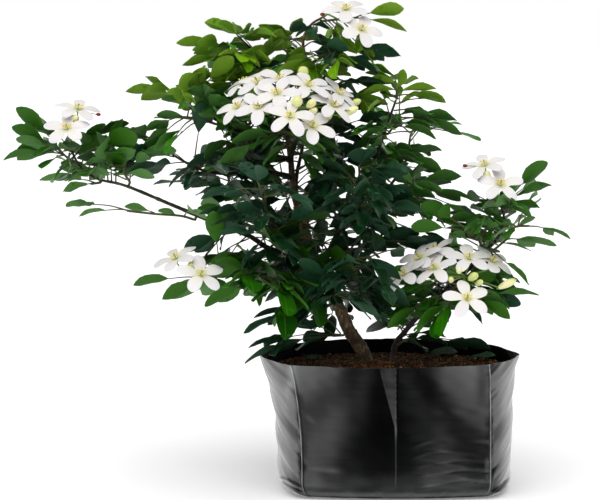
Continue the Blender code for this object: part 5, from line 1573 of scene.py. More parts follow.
# %% Dress the flower heads
BUD_CUP = [(0.0, 0.8), (1.2, 1.5), (2.6, 1.9), (3.2, 1.6)]
FLOWER_CUP = [(0.0, 0.9), (1.2, 1.7), (2.6, 2.1), (3.4, 1.8)]
CUP_DEEP = 3.0  # how far a flower's cup reaches down its stalk
SMALL_HEAD = 4  # a head with fewer flowers has a withered bract

for name, head in heads.items():
    rng = np.random.default_rng(sum(map(ord, name)))
    petals = Gather()
    for flower in head["flowers"]:
        add_petals(petals, flower, rng)
    settle(petals.write(f"petals_{name}", [PETAL]), "petal", f"flower_head_{name}")
    hearts = Gather()
    for flower in head["flowers"]:
        add_stamens(hearts, flower, rng)
    settle(hearts.write(f"stamens_{name}", [FILAMENT, POLLEN, CALYX]), "petal")
    green = Gather()
    for base, aim, length, width in head["buds"]:
        add_spindle(green, base, aim, bud_profile(length, width), 15, 0, rng.uniform(0.2, 1.0), 0.06)
        add_spindle(green, base - aim * 1.2, aim, BUD_CUP, 10, 1)
    for flower in head["flowers"]:
        add_spindle(green, flower.base - flower.facing * CUP_DEEP, flower.facing, FLOWER_CUP, 10, 1)
    for k, stalk in enumerate(head["stalks"]):
        thick = 1.0 if k == 0 else 0.75
        add_tube(green, stalk, [thick] * len(stalk), 6, 1)
    if len(head["flowers"]) < SMALL_HEAD:
        highest = max(head["flowers"], key=lambda flower: flower.base.z)
        foot = highest.base - highest.facing * CUP_DEEP
        side = -1.0 if name in ("top", "right") else 1.0
        end = foot + Vector((side * rng.uniform(18.0, 21.0), -5.0, rng.uniform(-3.0, 3.0)))
        add_tube(green, [foot, foot.lerp(end, 0.5) + SKY, end], [0.55, 0.45, 0.4], 5, 1)
        add_spindle(green, end, (end - foot).normalized(), bud_profile(5.0, 3.4), 9, 2)
    settle(green.write(f"buds_and_stalks_{name}", [BUD_SKIN, CALYX, WITHERED]), "petal")
print("heads dressed:", len(heads))

# %% [markdown]
# ## The film bag
# The bag is thin black film that has been filled: its front stands flat between two welded creases, and its
# sides bulge into pointed ridges. A cloth simulation could fill a bag, but its folds would fall anywhere. So
# its outline is worked out at every height, and the folds are then put where the photograph shows them.

# %% Outline of the bag
BAG_BACK_RISE = 3.0  # how much higher the back of the rim stands
MOUTH_WIDTH = 261.0  # from one pointed end of the mouth to the other
MOUTH_DEPTH = 180.0  # front to back across the mouth
BODY_WIDTH = 234.0  # across the side gussets, half way up
BODY_DEPTH = 156.0
CREASE_HALF = 93.0  # half the width of the front panel, crease to crease
FOOT_INSET = 15.0  # how far the flat base stands inside the walls
FOOT_ROUND = 16.0  # height over which the bottom edge turns into the wall
CREASE_FLARE = 5.0  # how much the creases spread at the mouth
BOW = 8.0  # how far the middle of a panel stands before its creases
BOW_FLARE = 22.0  # how much more at the mouth
MOUTH_SHIFT = 6.5  # how far the mouth stands to the left of the foot


def ridge_steps(q):
    """Return the steps from a place round the bag to the nearest ridge: 4 is a crease, 8 a panel's middle."""
    return np.where(np.floor(q / 8).astype(int) % 2 == 0, q % 8, 8 - q % 8)


def bag_outline(q, z, inset):
    """Return the points at q and z on the bag: q runs from 0 to 32 round it, from the right-hand ridge.

    The outline is the solid's own: a round gusset from the ridge to the crease, then a panel that bows out
    with the square of the way to its middle. Towards the mouth the gusset straightens and all of it spreads
    with the cube of the height; at the foot it tucks in as a quarter circle does.
    """
    quarter = np.floor(q / 8).astype(int) % 4
    k = ridge_steps(q)
    x_sign = np.where((quarter == 0) | (quarter == 3), 1.0, -1.0)
    y_sign = np.where(quarter < 2, 1.0, -1.0)
    foot = np.clip(1.0 - z / FOOT_ROUND, 0.0, 1.0)
    tuck = FOOT_INSET * (1.0 - np.sqrt(1.0 - foot ** 2))
    flare = np.clip(z / BAG_RIM, 0.0, 1.0) ** 3
    half = BODY_WIDTH / 2 * (1 - flare) + MOUTH_WIDTH / 2 * flare - tuck
    depth = BODY_DEPTH / 2 * (1 - flare) + MOUTH_DEPTH / 2 * flare - tuck
    crease = CREASE_HALF + CREASE_FLARE * flare - tuck
    face = depth - BOW - BOW_FLARE * flare
    side = np.clip(k, 0, 4) / 4
    front = np.clip(k - 4, 0, 4) / 4
    bend = (1 - np.cos(side * np.pi / 2)) * (1 - 0.55 * flare) + 0.55 * flare * side
    x_side = half - (half - crease) * bend
    y_side = face * (np.sin(side * np.pi / 2) * (1 - 0.6 * flare) + side * 0.6 * flare)
    x_front = crease * (1 - front)
    y_front = depth - (depth - face) * (1 - front) ** 2
    x = np.where(k < 4, x_side, x_front) * x_sign - MOUTH_SHIFT * flare
    y = np.where(k < 4, y_side, y_front) * y_sign
    rise = BAG_BACK_RISE * np.clip(z / BAG_RIM, 0.0, 1.0) ** 4 * (y / MOUTH_DEPTH + 0.5)
    points = np.stack([x, y, z + rise], axis=-1)
    if np.any(inset):
        level = points * np.array([1.0, 1.0, 0.0])
        ahead = unit(np.roll(level, -1, axis=1) - np.roll(level, 1, axis=1))
        inward = np.stack([-ahead[..., 1], ahead[..., 0], 0.0 * ahead[..., 0]], axis=-1)
        points = points + np.asarray(inset)[..., None] * inward
    return points


ends = bag_outline(np.array([[0.0, 16.0]]), np.array([[BAG_RIM, BAG_RIM]]), 0.0)[0]
print("ridges of the mouth at x =", [round(float(x), 1) for x in ends[:, 0]])

# %% [markdown]
# ## Folds of the film
# Film that has been filled shows slow swells, slanting folds where the gussets are pulled, level wrinkles low
# on the right, a tuck in the middle of the front, and small puckers at the foot. Each kind is a height along
# the surface's own normal, so they add up and each can be changed alone.

# %% Soft ridges and steps
APEX = 69.5  # height where the tuck in the middle of the front ends
LOW_SETS = ((-0.08, 5.2, 8), (0.10, 6.4, 9))  # slope, spacing and seed of the two sets of low wrinkles


def ridge(distance, width):
    """Return a soft ridge: 1 on its line, and 0 some widths away."""
    return np.exp(-(distance / width) ** 2)


def smooth_step(value, low, high):
    """Return 0 below low, 1 above high, and a smooth rise between: 3 t squared less 2 t cubed."""
    t = np.clip((value - low) / (high - low), 0.0, 1.0)
    return t * t * (3.0 - 2.0 * t)


def tuck_share(z):
    """Return how open the tuck of the front is: 0 up to its end, and 1 at the rim."""
    return np.clip((z - APEX) / (BAG_RIM - APEX), 0.0, 1.0)


def low_wrinkles(points):
    """Return 0 to 1 for the wrinkles low on the right: two sets of nearly level crests that come and go."""
    x, z = points[..., 0], points[..., 2]
    low_right = smooth_step(x, 8.0, 30.0) * (1 - smooth_step(z, 56.0, 70.0)) * smooth_step(z, 8.0, 16.0)
    total = np.zeros_like(z)
    for slope, spacing, seed in LOW_SETS:
        level = z + slope * x + 1.8 * np.sin(x / (3.2 * spacing) + seed)
        crest = ridge(np.sin(level * np.pi / spacing + ripple(points, 40.0, seed)) - 1.0, 0.4)
        total += crest * np.clip(0.45 + 0.8 * ripple(points, 44.0, seed + 22), 0.0, 1.0)
    return low_right * np.clip(total, 0.0, 1.0)


print("the tuck is open by", round(float(tuck_share(np.array(100.0))), 2), "at a height of 100 mm")

# %% [markdown]
# ## The sum of the folds
# Blender could add such heights as displace modifiers, one for each kind of fold. Summed in one function they
# need no textures, and the marks of the next step can use the same places.

# %% Folds of the film
GUSSET_STEP = 9.0  # width of one step of the outline on a gusset
PANEL_STEP = 21.0  # and on a panel
STROKE_SLANT = 0.9  # how steeply the folds of the gussets climb: rise over run
SEAM = -1.0  # where the seam in the middle of the front lies
TUCK_WIDE = 15.5  # width of the tuck at the rim


def film_folds(points, q):
    """Return how far each point of the film stands out, in millimetres.

    It sums slow swells, fine crumples, slanting folds on the gussets, level wrinkles low on the front, the
    two creases, the tuck in the middle of the front, and small folds at the foot.
    """
    x, y, z = np.moveaxis(points, -1, 0)
    k = ridge_steps(q)
    panel = smooth_step(k, 3.7, 4.3)
    gusset = 1.0 - panel
    front = panel * (y < 0)
    lift = 0.45 * ripple(points, 70.0, 3, (1.0, 1.0, 2.6)) + 0.10 * ripple(points, 20.0, 4, (1.5, 1.0, 1.0))
    around = k * GUSSET_STEP * np.where(y < 0, -1.0, 1.0)
    # The right gusset's strokes start 57 mm along, so that the two sides don't mirror each other
    strokes = np.stack([z - STROKE_SLANT * around + 57.0 * (x > 0), 0.22 * (z + around), 0.0 * z], axis=-1)
    lift += gusset * (1.3 * ripple(strokes, 20.0, 6) + 0.4 * ripple(strokes, 8.0, 7))
    lift += front * 0.6 * low_wrinkles(points)
    lift += front * 0.12 * ripple(points, 6.0, 10, (7.0, 1.0, 1.0))
    lift += 0.32 * ridge((k - 4.0) * PANEL_STEP, 0.7)
    share = tuck_share(z)
    from_seam = SEAM - 0.5 * share - x
    climb = np.clip(1.0 - from_seam / (TUCK_WIDE * share + 0.01), 0.0, 1.0) * (from_seam >= 0)
    lift += front * 2.6 * share * climb
    lift += front * (z < APEX) * smooth_step(z, 10.0, 20.0) * 0.08 * ridge(from_seam, 0.7)
    foot = 1 - smooth_step(z, 2.0, 13.0)
    return lift + foot * (0.7 * ripple(points, 17.0, 11) + 0.35 * ripple(points, 7.0, 12))


spot = bag_outline(np.array([[24.0]]), np.array([[100.0]]), 0.0)
print("the folds lift the middle of the front by", film_folds(spot, np.array([[24.0]])).round(2)[0, 0], "mm")

# %% [markdown]
# ## Where the film is whitened, and where light and shade are painted on it
# Polythene turns white where it is folded hard. Some white marks are painted highlights instead, and the dark
# marks are painted shade: the film is made to mirror less beside its folds, over the middle of the front and
# at the foot. Painting these by hand on a texture would work too; as formulas of the place they stay sharp at
# any size and follow the same folds as the heights do.

# %% Whitening, painted highlights and painted shade of the film
CORNER = 91.0  # how far to the left the folded corner of the foot starts
CORNER_WIDE = 20.0
CORNER_RISE = 9.5  # how high its fold climbs
# painted shade: the pocket at the foot is a dark triangle in which the film mirrors less
POCKET = 94.0  # how far to the right the dark pocket of the foot starts


def film_marks(points, q):
    """Return the film's white, from stress-whitening and painted highlights, and its painted shade, where it
    mirrors less.

    White runs along the creases, the tuck's lower edge and the folds of the corners, and as painted
    highlights on the front and beside the left crease; it is also paler towards the foot. Painted shade runs
    beside the creases and the tuck, over the middle of the front, by the right crease, in strokes on the
    gussets, and in the pocket and puckers at the foot.
    """
    x, y, z = np.moveaxis(points, -1, 0)
    k = ridge_steps(q)
    front, left = y < 0, x < 0
    uneven = 0.65 + 0.35 * ripple(points, 16.0, 17)
    shown = 0.983 * z + 0.186 * y + 2.3      # height as it shows from the front
    share = tuck_share(z)
    seam = x - SEAM + 0.5 * share
    corner = np.clip((-x - CORNER) / CORNER_WIDE, 0.0, 1.0) * front
    fold = shown + 1.0 - CORNER_RISE * corner
    # White: stress-whitening at the creases, seam and corner fold, painted highlights, and paler at the foot
    white = 0.75 * ridge((k - 4.0) * PANEL_STEP, 0.5) * smooth_step(z, 4.0, 12.0)
    white += front * 0.10 * ridge(seam, 0.5) * smooth_step(z, 10.0, 20.0)
    white += front * 0.4 * ridge(seam, 0.8) * ridge(z - 72.0, 6.0)
    white += smooth_step(corner, 0.0, 0.4) * 0.8 * ridge(fold, 1.2)
    # painted highlights: a level streak low on the front, a slanting stroke and a band beside the left crease
    white += front * 0.15 * ridge(z - 31.0 + 0.08 * (x + 70.0), 2.2) * ridge(x + 70.0, 12.0)
    white += front * left * 0.08 * ridge((z - 83.0) + 0.75 * (x + 87.0), 3.0) * ridge(x + 87.0, 7.0)
    white += front * left * 0.30 * ridge(x + 107.0 - 0.12 * (z - 100.0), 5.0) * smooth_step(z, 76.0, 112.0)
    white += 0.09 * (1 - smooth_step(z, 8.0, 34.0))
    white += front * (k > 4.0) * 0.08 * low_wrinkles(points)
    # Painted shade, where the film mirrors less: gusset strokes, the front's middle, beside creases, tuck and
    # fold
    around = k * GUSSET_STEP * np.where(front, -1.0, 1.0)
    strokes = np.stack([z - STROKE_SLANT * around, 0.22 * z, 0.0 * z], axis=-1)
    dark = 0.55 * (k < 3.7) * smooth_step(ripple(strokes, 17.0, 19), 0.15, 0.55)
    off_tuck = 1 - (seam < 0) * (seam > -TUCK_WIDE * share)
    # painted shade over the middle of the front, but not on the tuck
    middle = smooth_step(x, -64.0, -42.0) * (1 - smooth_step(x, 30.0, 50.0)) * off_tuck
    dark += front * 0.75 * middle * smooth_step(z, 20.0, 60.0)
    dark += front * 0.6 * ridge(x - 84.0, 6.0) * smooth_step(z, 84.0, 108.0)
    dark += 0.7 * ridge((k - 4.0) * PANEL_STEP - 1.5, 0.7) * left * front
    dark += front * share * 0.8 * ridge(seam - 1.4, 1.0)
    dark += smooth_step(corner, 0.0, 0.2) * (ridge(fold + 2.6, 1.7) + ridge(fold - 2.6, 1.7))
    pocket = smooth_step(0.655 * (x - POCKET) - 1.5 - shown, -0.5, 0.5) * smooth_step(shown, -4.2, -3.0)
    dark += front * (x > POCKET) * pocket
    dark += front * 0.8 * smooth_step(ripple(points, 15.0, 18), 0.1, 0.4) * (1 - smooth_step(z, 2.0, 5.0))
    dark += 0.9 * (1 - smooth_step(z, 2.0, 6.0))
    dark = np.clip(dark, 0.0, 1.0)
    return np.clip(white * uneven, 0.0, 1.0) * (1 - 0.9 * dark * (z < 30.0)), dark


marks = film_marks(spot, np.array([[24.0]]))
print("white and dark at the same spot:", [mark.round(2)[0, 0] for mark in marks])

# %% [markdown]
# ## Rows and columns of the film
# The film is one closed grid that runs from the middle of its base up the outside, over the rim and down the
# inside. Its columns crowd where creases and seams are sharp, so that the rest needs no fine grid.

# %% Rows and columns of the film
FILM = 0.45  # thickness of the modelled film
BAG_COLUMNS = 640
BASE_SHARES = (0.02, 0.3, 0.6, 0.85)  # rings of the flat base, as shares of its outline
INNER_SHARES = (0.8, 0.4, 0.02)


def crowded_places(count):
    """Return places round the bag, from 0 to 32, that stand closer at the creases and the middle seams."""
    fine = np.linspace(0, 32, 8001)
    k = ridge_steps(fine)
    crowd = 1.0 + 2.6 * np.exp(-((k - 4) / 0.22) ** 2) + 1.8 * np.exp(-((k - 8) / 0.3) ** 2)
    total = np.concatenate([[0.0], np.cumsum((crowd[1:] + crowd[:-1]) / 2)])
    return np.interp(np.arange(count) / count, total / total[-1], fine)


BAG_PLACES = crowded_places(BAG_COLUMNS)
OUT_ROWS = np.concatenate([[0.0, 0.7, 1.8, 3.2], np.linspace(4.8, BAG_RIM, 98)])
IN_ROWS = np.concatenate([np.linspace(BAG_RIM, 108.0, 20), [90.0, 70.0, 45.0, 22.0, 12.0, 6.0, 2.0]])
print("rows outside and inside:", len(OUT_ROWS), len(IN_ROWS), "columns:", BAG_COLUMNS)

# %% [markdown]
# ## Walls of the film
# Both walls get the same folds, so the film keeps its thickness. The cut edge at the top isn't straight: it
# bulges up a little in the middle of the front and ripples. Below the soil, where nobody sees it, the inner
# wall steps further in, so the folds of the outer wall can't reach it.

# %% Walls of the film
HIDDEN_STEP = 3.0  # how much further in the inner wall stands below the soil
FRONT_BULGE = 2.6  # how much the edge rises in the middle of the front


def rim_wave(points):
    """Return how far the cut edge rises or dips, fading out below the rim."""
    near = smooth_step(points[..., 2], BAG_RIM - 14.0, BAG_RIM)
    bulge = FRONT_BULGE * (points[..., 1] < 0) * np.clip(1.0 - (points[..., 0] / 105.0) ** 2, 0.0, 1.0)
    return near * (bulge + 0.6 * ripple(points, 34.0, 13) + 0.25 * ripple(points, 9.0, 14))


def film_wall(rows, inset):
    """Return the wall's rows of points, with its folds and its wavy edge."""
    q = np.broadcast_to(BAG_PLACES, (len(rows), BAG_COLUMNS))
    z = np.broadcast_to(rows[:, None], q.shape)
    plain = bag_outline(q, z, 0.0)
    wall = bag_outline(q, z, inset + (HIDDEN_STEP * (1 - smooth_step(z, 96.0, 108.0)) if inset else 0.0))
    around = np.roll(plain, -1, axis=1) - np.roll(plain, 1, axis=1)
    normal = unit(np.cross(around, np.array([0.0, 0.0, 1.0])))
    fade = smooth_step(z, 0.0, 3.0)
    wall = wall + normal * (film_folds(plain, q) * fade)[..., None]
    wall[..., 2] += rim_wave(plain)
    return wall


def close_level(rings, share_steps):
    """Return smaller and smaller copies of a ring round its middle, all at its height."""
    middle = rings.mean(axis=0)
    return np.array([middle + (rings - middle) * share for share in share_steps])


outer = film_wall(OUT_ROWS, 0.0)
inner = film_wall(IN_ROWS, FILM)
base = close_level(outer[0], BASE_SHARES)
inner_base = close_level(inner[-1], INNER_SHARES)
bag_rings = np.concatenate([base, outer, inner, inner_base])
bag_tint = np.zeros(bag_rings.shape)
outside = slice(len(base), len(base) + len(outer))
places = np.broadcast_to(BAG_PLACES, (len(OUT_ROWS), BAG_COLUMNS))
heights = np.broadcast_to(OUT_ROWS[:, None], places.shape)
# red: stress-whitening and painted highlights; blue: painted shade, where the film mirrors less
bag_tint[outside, :, 0], bag_tint[outside, :, 2] = film_marks(bag_outline(places, heights, 0.0), places)
bag_tint[outside.stop:, :, 1] = 1.0
piece = Gather()
piece.add(bag_rings, tube_faces(len(bag_rings), BAG_COLUMNS), tint=bag_tint.reshape(-1, 3))
print("film bag grid:", bag_rings.shape)

# %% [markdown]
# ## Polythene film
# Black film has almost no colour of its own: it is dark, smooth and mirrors what stands round it. The blowing
# of the film leaves faint level streaks, which make the mirror images soft in bands.

# %% Film material
def film_material():
    """Blown polythene film, black and glossy, which mirrors its surroundings in long soft bands.

    The tint's red is the share of stress-whitening and painted highlights, its green marks the dusty inner
    face, and its blue the painted shade, where the film mirrors less.
    """
    material, node = new_material("blown_film_black")
    place = node("TexCoord")
    level = node("Mapping", {"Scale": (0.10, 0.10, 1.0)}, {0: place.outputs["Object"]})
    tint = node("Attribute", {"attribute_name": "tint"})
    parts = node("SeparateColor", {}, {0: tint})
    marks = node("TexNoise", {"Scale": 0.40 / MM, "Detail": 4.0}, {0: level})
    haze = node("TexNoise", {"Scale": 0.03 / MM}, {0: place.outputs["Object"]})
    body = node("ValToRGB", {"stops": [(0.3, "#040504"), (0.7, "#0a0c0b")]}, {0: haze})
    # the tint's red whitens the film, for stress-whitening and for painted highlights
    whitening_and_painted_highlight = node("Mix RGBA", {7: "#b4b8b6"}, {0: parts, 6: body})
    worn = node("Math MULTIPLY_ADD", {1: 0.12, 2: 0.09}, {0: marks})
    rough = node("Math MULTIPLY_ADD", {1: 0.25}, {0: parts.outputs[1], 2: worn})
    # the tint's blue is painted shade: with the dusty inner face it turns the reflection down
    dust_and_painted_shade = node("Math MAXIMUM", {}, {0: parts.outputs[1], 1: parts.outputs[2]})
    shine = node("MapRange", {3: 0.5, 4: 0.04}, {0: dust_and_painted_shade})
    skin = node("Bump", {"Strength": 0.5, "Distance": 0.10 * MM}, {"Height": marks})
    return finished(material, node, {"IOR": 1.50},
                    {"Base Color": whitening_and_painted_highlight.outputs[2], "Roughness": rough, "Specular IOR Level": shine,
                     "Normal": skin})


BLACK_FILM = film_material()
settle(piece.write("film_bag", [BLACK_FILM], 60.0), "film", "grow_bag")
print("the film bag has", piece.count, "points")

# %% [markdown]
# ## Potting soil
# The soil is a damp, crumbly mix with lighter bits of bark. The bits are the cells of a cell pattern, each
# in one of five browns, which is nearer to the real mix than a smooth noise would be.

# %% Soil material
def soil_material():
    """Damp potting mix: dark brown crumbs with specks of bark, fully matt."""
    material, node = new_material("potting_mix_crumbly")
    place = node("TexCoord")
    cells = node("TexVoronoi", {"Scale": 0.55 / MM}, {0: place.outputs["Object"]})
    pick = node("SeparateColor", {}, {0: cells.outputs["Color"]})
    stops = [(0.0, "#2e1b10"), (0.40, "#4a2e1c"), (0.64, "#7a4a2a"), (0.84, "#a87642"), (0.96, "#c79a68")]
    body = node("ValToRGB", {"stops": stops}, {0: pick})
    body.color_ramp.interpolation = "CONSTANT"
    grain = node("TexNoise", {"Scale": 0.9 / MM, "Detail": 5.0}, {0: place.outputs["Object"]})
    damp = node("Math MULTIPLY", {1: 0.5}, {0: grain})
    colour = node("Mix RGBA", {7: "#2a190f"}, {0: damp, 6: body})
    skin = node("Bump", {"Strength": 0.9, "Distance": 1.0 * MM}, {"Height": grain})
    return finished(material, node, {"Roughness": 0.92}, {"Base Color": colour.outputs[2], "Normal": skin})


SOIL = soil_material()
print("made", SOIL.name)

# %% [markdown]
# ## The soil's surface
# The surface is mounded round the stems and rough at three scales. It is a grid of rings inside the bag's own
# outline, closed underneath, so it fills the bag right up to the film.

# %% Soil surface
SOIL_MOUND = 5.5  # extra height of the soil round the trunk
MOUND_X = -20.0
MOUND_Y = 12.0
MOUND_REACH = 60.0
SOIL_SHY = 2.0  # how far the soil's side stands inside the outline
SIDE_SHARES = (0.02, 0.5)


def soil_height(x, y):
    """Return the soil's height: level at the film, mounded round the stems, rough all over."""
    far = np.hypot(x - MOUND_X, y - MOUND_Y) / MOUND_REACH
    flat = np.stack([x, y, 0.0 * x], axis=-1)
    rough = 1.3 * ripple(flat, 16.0, 21) + 0.8 * ripple(flat, 6.0, 22) + 0.5 * ripple(flat, 3.2, 23)
    return SOIL_LEVEL + SOIL_MOUND * np.exp(-far ** 2) + rough


SOIL_COLUMNS = 260
q = np.linspace(0, 32, SOIL_COLUMNS, endpoint=False)[None, :]
rows = np.array([4.0, 40.0, 80.0, 108.0, SOIL_LEVEL - 3.0])[:, None]
side = bag_outline(q + 0 * rows, rows + 0 * q, SOIL_SHY)
edge = bag_outline(q, SOIL_LEVEL + 0 * q, SOIL_SHY)[0]
shares = np.sqrt(np.linspace(1.0, 0.0004, 44))
top = np.stack([edge * share for share in shares])
top[..., 2] = soil_height(top[..., 0], top[..., 1])
piece = Gather()
soil_rings = np.concatenate([close_level(side[0], SIDE_SHARES), side, top])
piece.add(soil_rings, tube_faces(len(soil_rings), SOIL_COLUMNS))
settle(piece.write("soil_surface", [SOIL], 60.0), "soil", "potting_soil")
print("the soil's surface stands between", top[..., 2].min().round(1), "and", top[..., 2].max().round(1))

# %% [markdown]
# ## Crumbs
# Loose crumbs catch the light and break the surface's edge. Each is an icosahedron, pulled out of shape,
# turned at random and half sunk. One piece holds them all, which is lighter than a thousand objects.

# %% Crumbs
ICOSAHEDRON = [(0, 1, 2), (0, 2, 3), (0, 3, 4), (0, 4, 5), (0, 5, 1), (1, 6, 2), (2, 7, 3), (3, 8, 4),
               (4, 9, 5), (5, 10, 1), (6, 7, 2), (7, 8, 3), (8, 9, 4), (9, 10, 5), (10, 6, 1), (11, 7, 6),
               (11, 8, 7), (11, 9, 8), (11, 10, 9), (11, 6, 10)]
turns = 2 * np.pi * np.arange(5) / 5
upper = np.column_stack([0.894 * np.cos(turns), 0.894 * np.sin(turns), np.full(5, 0.447)])
later = turns + np.pi / 5
lower = np.column_stack([0.894 * np.cos(later), 0.894 * np.sin(later), np.full(5, -0.447)])
LUMP = np.vstack([[(0.0, 0.0, 1.0)], upper, lower, [(0.0, 0.0, -1.0)]])


def scatter_crumbs(piece, count, rng, smallest, largest):
    """Add crumbs: twenty-faced lumps, each stretched and turned at random, half sunk in the soil."""
    share = np.sqrt(rng.uniform(0.0, 0.93, count))
    ring = bag_outline(rng.uniform(0, 32, (1, count)), np.full((1, count), SOIL_LEVEL), 0.0)[0]
    x, y = ring[:, 0] * share, ring[:, 1] * share
    size = smallest + (largest - smallest) * rng.uniform(0, 1, count) ** 2.5
    shape = LUMP[None] * rng.uniform(0.6, 1.3, (count, 12, 1)) * size[:, None, None]
    shape = shape * rng.uniform(0.6, 1.2, (count, 1, 3))
    axes = np.linalg.qr(rng.normal(size=(count, 3, 3)))[0]
    axes[:, :, 0] *= np.sign(np.linalg.det(axes))[:, None]
    points = np.einsum("nij,nkj->nki", axes, shape)
    points += np.stack([x, y, soil_height(x, y) + 0.25 * size], axis=-1)[:, None]
    faces = np.array(ICOSAHEDRON)[None] + np.arange(count)[:, None, None] * 12
    piece.add(points, [faces.reshape(-1, 3)])


piece = Gather()
scatter_crumbs(piece, 1500, np.random.default_rng(31), 0.6, 2.6)
settle(piece.write("soil_crumbs", [SOIL], 30.0), "soil")
print("crumbs:", piece.count // len(LUMP))

# %% [markdown]
# ## Fallen leaves
# A few dead leaves lie on the soil of a real pot. They use the leaflet of the crown again, laid down and
# tilted a little.

# %% Fallen leaves
def fallen_blades(rng, places):
    """Return loose leaflets that lie on the soil at the places given, tilted a little."""
    blades = []
    for x, y, angle, length in places:
        aim = Vector((math.cos(angle), math.sin(angle), rng.uniform(-0.05, 0.25))).normalized()
        up = Vector((rng.uniform(-0.5, 0.5), rng.uniform(-0.9, -0.2), 1.0)).normalized()
        height = float(soil_height(np.array(x), np.array(y))) + 3.0
        blades.append(Leaflet(frame_along(Vector((x, y, height)), aim, up), length, length * 0.42, 0.1))
    return blades


litter_rng = random.Random(5)
FALLEN = [(36, 56, 0.2, 32), (76, 44, -0.3, 30), (-92, 40, 0.4, 26)]
piece = Gather()
add_leaflets(piece, fallen_blades(litter_rng, FALLEN), np.random.default_rng(41), "deep")
settle(piece.write("fallen_leaves", [LEAF_FINISHES["deep"]]), "leaf_deep")
print("fallen leaves:", len(FALLEN))

# %% [markdown]
# ## Fine roots
# Thin roots come up through the surface and dive back. Each is a tube through four points, highest in its
# middle, in the trunk's bark.

# %% Fine roots
ROOTS = 34
ROOT_ARCH = 2.5  # how high a root rises over the soil

piece = Gather()
for k in range(ROOTS):
    angle = litter_rng.uniform(0, 2 * math.pi)
    far = litter_rng.uniform(12.0, 92.0)
    start = Vector((-20.0 + far * math.cos(angle), 16.0 + 0.55 * far * math.sin(angle), 0.0))
    turn = litter_rng.uniform(0, 2 * math.pi)
    reach = litter_rng.uniform(9.0, 24.0)
    knots = []
    for step in range(4):
        heading = turn + 0.4 * step
        point = start + Vector((math.cos(heading), math.sin(heading), 0.0)) * reach * step / 3
        height = float(soil_height(np.array(point.x), np.array(point.y)))
        knots.append(Vector((point.x, point.y, height + 0.4 + ROOT_ARCH * math.sin(math.pi * step / 3))))
    add_tube(piece, knots, [0.5, 0.45, 0.35, 0.2], 4, 0)
settle(piece.write("fine_roots", [BARK]), "bark")
print("fine roots:", ROOTS)

# %% [markdown]
# ## The floor
# A plant like this is photographed on a wide white sheet. A plane does for it; it glows faintly, as a lit
# sheet of acrylic does, so the shadow on it stays as pale as in the photograph.

# %% Floor
FLOOR_HALF = 6.0  # half the floor's width, in metres
FLOOR_DROP = -0.4  # just under the bag, so that the two surfaces don't coincide


def floor_material():
    """Matt white acrylic, a little uneven, lit faintly from below so that shadows on it stay pale."""
    material, node = new_material("lit_acrylic_white")
    place = node("TexCoord")
    cloud = node("TexNoise", {"Scale": 0.6}, {0: place.outputs["Object"]})
    colour = node("ValToRGB", {"stops": [(0.3, "#f6f6f6"), (0.7, "#fbfbfb")]}, {0: cloud})
    glow = {"Emission Color": "#ffffff", "Emission Strength": 0.2}
    return finished(material, node, {"Roughness": 0.9, **glow}, {"Base Color": colour})


piece = Gather()
corners = np.array([(-1, -1, 0), (1, -1, 0), (1, 1, 0), (-1, 1, 0)]) * FLOOR_HALF / MM
corners[:, 2] = FLOOR_DROP
piece.add(corners, [np.array([(0, 1, 2, 3)])])
floor = piece.write("floor", [floor_material()])
floor.visible_glossy = False
print("floor:", 2 * FLOOR_HALF, "m wide")

# %% [markdown]
# ## The broad light
# One broad soft light from the front and above gives the photograph's pale, wide shadows. A sun lamp with a
# very wide disc does that, and it lights floor and leaves evenly at any distance.

# %% Broad light from the front and above
broad = bpy.data.lights.new("broad_light", "SUN")
broad.energy = 3.1
broad.angle = math.radians(80.0)
lamp = bpy.data.objects.new("broad_light", broad)
lamp.rotation_euler = (math.radians(28.0), 0.0, math.radians(-14.0))
lamp.visible_glossy = False
bpy.context.scene.collection.objects.link(lamp)
print("sun lamp:", round(broad.energy, 1), "strong,", round(math.degrees(broad.angle)), "degrees wide")

# %% [markdown]
# ## What the film mirrors
# Black film shows almost nothing but what it mirrors, so its surroundings matter more than its colour. They
# are laid out as in a studio: tall white panels at both sides, two narrow ones beside the camera, and
# darkness between them. They could be glowing planes, but as a gradient of the world they cast no shadows.

# %% Panels of the studio
# (degrees to the right of the camera, brightness) round the plant at the height of the bag
PANELS = [(-180, 0.8), (-150, 1.5), (-120, 2.8), (-70, 4.2), (-44, 2.8), (-30, 0.7), (-24, 0.9), (-19, 2.0),
          (-14, 1.5), (-10.5, 0.15), (-7, 0.04), (6.5, 0.04), (9.5, 0.8), (13, 1.3), (16, 1.0), (19, 0.12),
          (24, 0.10), (32, 1.6), (60, 3.6), (120, 2.8), (150, 1.5), (180, 0.8)]
# (degrees above the horizon, share of that brightness)
FADE = [(-90, 0.06), (-60, 0.10), (-42, 0.35), (-24, 0.9), (6, 1.0), (22, 0.14), (40, 0.02), (90, 0.02)]
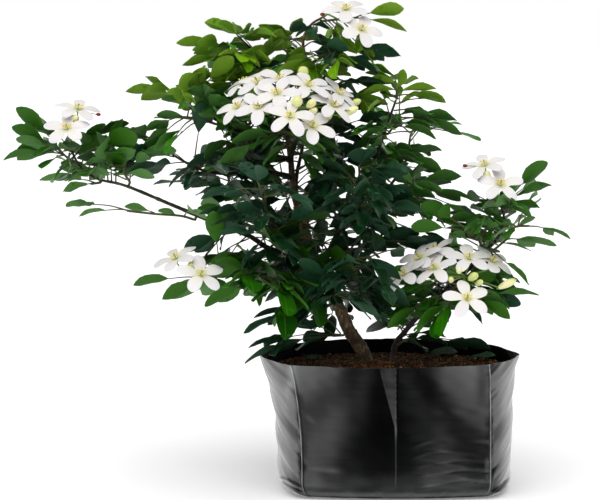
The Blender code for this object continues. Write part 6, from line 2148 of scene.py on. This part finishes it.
# (degrees above the horizon, brightness) of the pale floor and of a light right above
TOP_GLOW = [(-90, 0.9), (-70, 0.8), (-60, 0.25), (-46, 0.0), (48, 0.01), (56, 0.6), (68, 0.6), (78, 0.03),
            (90, 0.03)]
SOFT_FILL = 0.24  # light from all round on matt surfaces
BRIGHTEST = 5.0  # a ramp's colours end at one, so they hold brightness over this
print("panels mirrored:", len(PANELS))

# %% [markdown]
# ## The world's light
# Two ramps, one round the plant and one up and down, are multiplied into panels. Rays that come off shiny
# surfaces see them, matt surfaces get a weak even light from all round, and the camera sees plain white.

# %% World
world = bpy.data.worlds.new("studio")
bpy.context.scene.world = world
world.use_nodes = True
world.node_tree.nodes.clear()
node = partial(add_node, world.node_tree)
way = node("TexCoord")
split = node("SeparateXYZ", {}, {0: way.outputs["Generated"]})
ahead = node("Math MULTIPLY", {1: -1.0}, {0: split.outputs["Y"]})
turn = node("Math ARCTAN2", {}, {0: split, 1: ahead})
rise = node("Math ARCSINE", {}, {0: split.outputs["Z"]})
bands = []
for angle, half, stops in ((turn, 180, PANELS), (rise, 90, FADE), (rise, 90, TOP_GLOW)):
    share = node("MapRange", {1: -math.radians(half), 2: math.radians(half)}, {0: angle})
    rows = [(0.5 + degrees / half / 2, (value / BRIGHTEST,) * 3 + (1.0,)) for degrees, value in stops]
    bands.append(node("ValToRGB", {"stops": rows}, {0: share}))
low = node("Math MULTIPLY", {}, {0: bands[0], 1: bands[1]})
both = node("Math MULTIPLY_ADD", {1: BRIGHTEST}, {0: low, 2: bands[2]})
seen_by = node("LightPath")
shiny = node("Math MULTIPLY", {}, {0: both, 1: seen_by.outputs["Is Glossy Ray"]})
plain = node("MapRange", {3: SOFT_FILL}, {0: seen_by.outputs["Is Camera Ray"]})
other = node("Math SUBTRACT", {0: 1.0}, {1: seen_by.outputs["Is Glossy Ray"]})
matt = node("Math MULTIPLY", {}, {0: plain, 1: other})
level = node("Math MULTIPLY_ADD", {1: BRIGHTEST}, {0: shiny, 2: matt})
backdrop = node("Background", {"Color": (1.0, 1.0, 1.0, 1.0)}, {"Strength": level})
node("OutputWorld", {}, {"Surface": backdrop})
bpy.context.scene.view_settings.view_transform = "Standard"
print("nodes of the world:", len(world.node_tree.nodes))
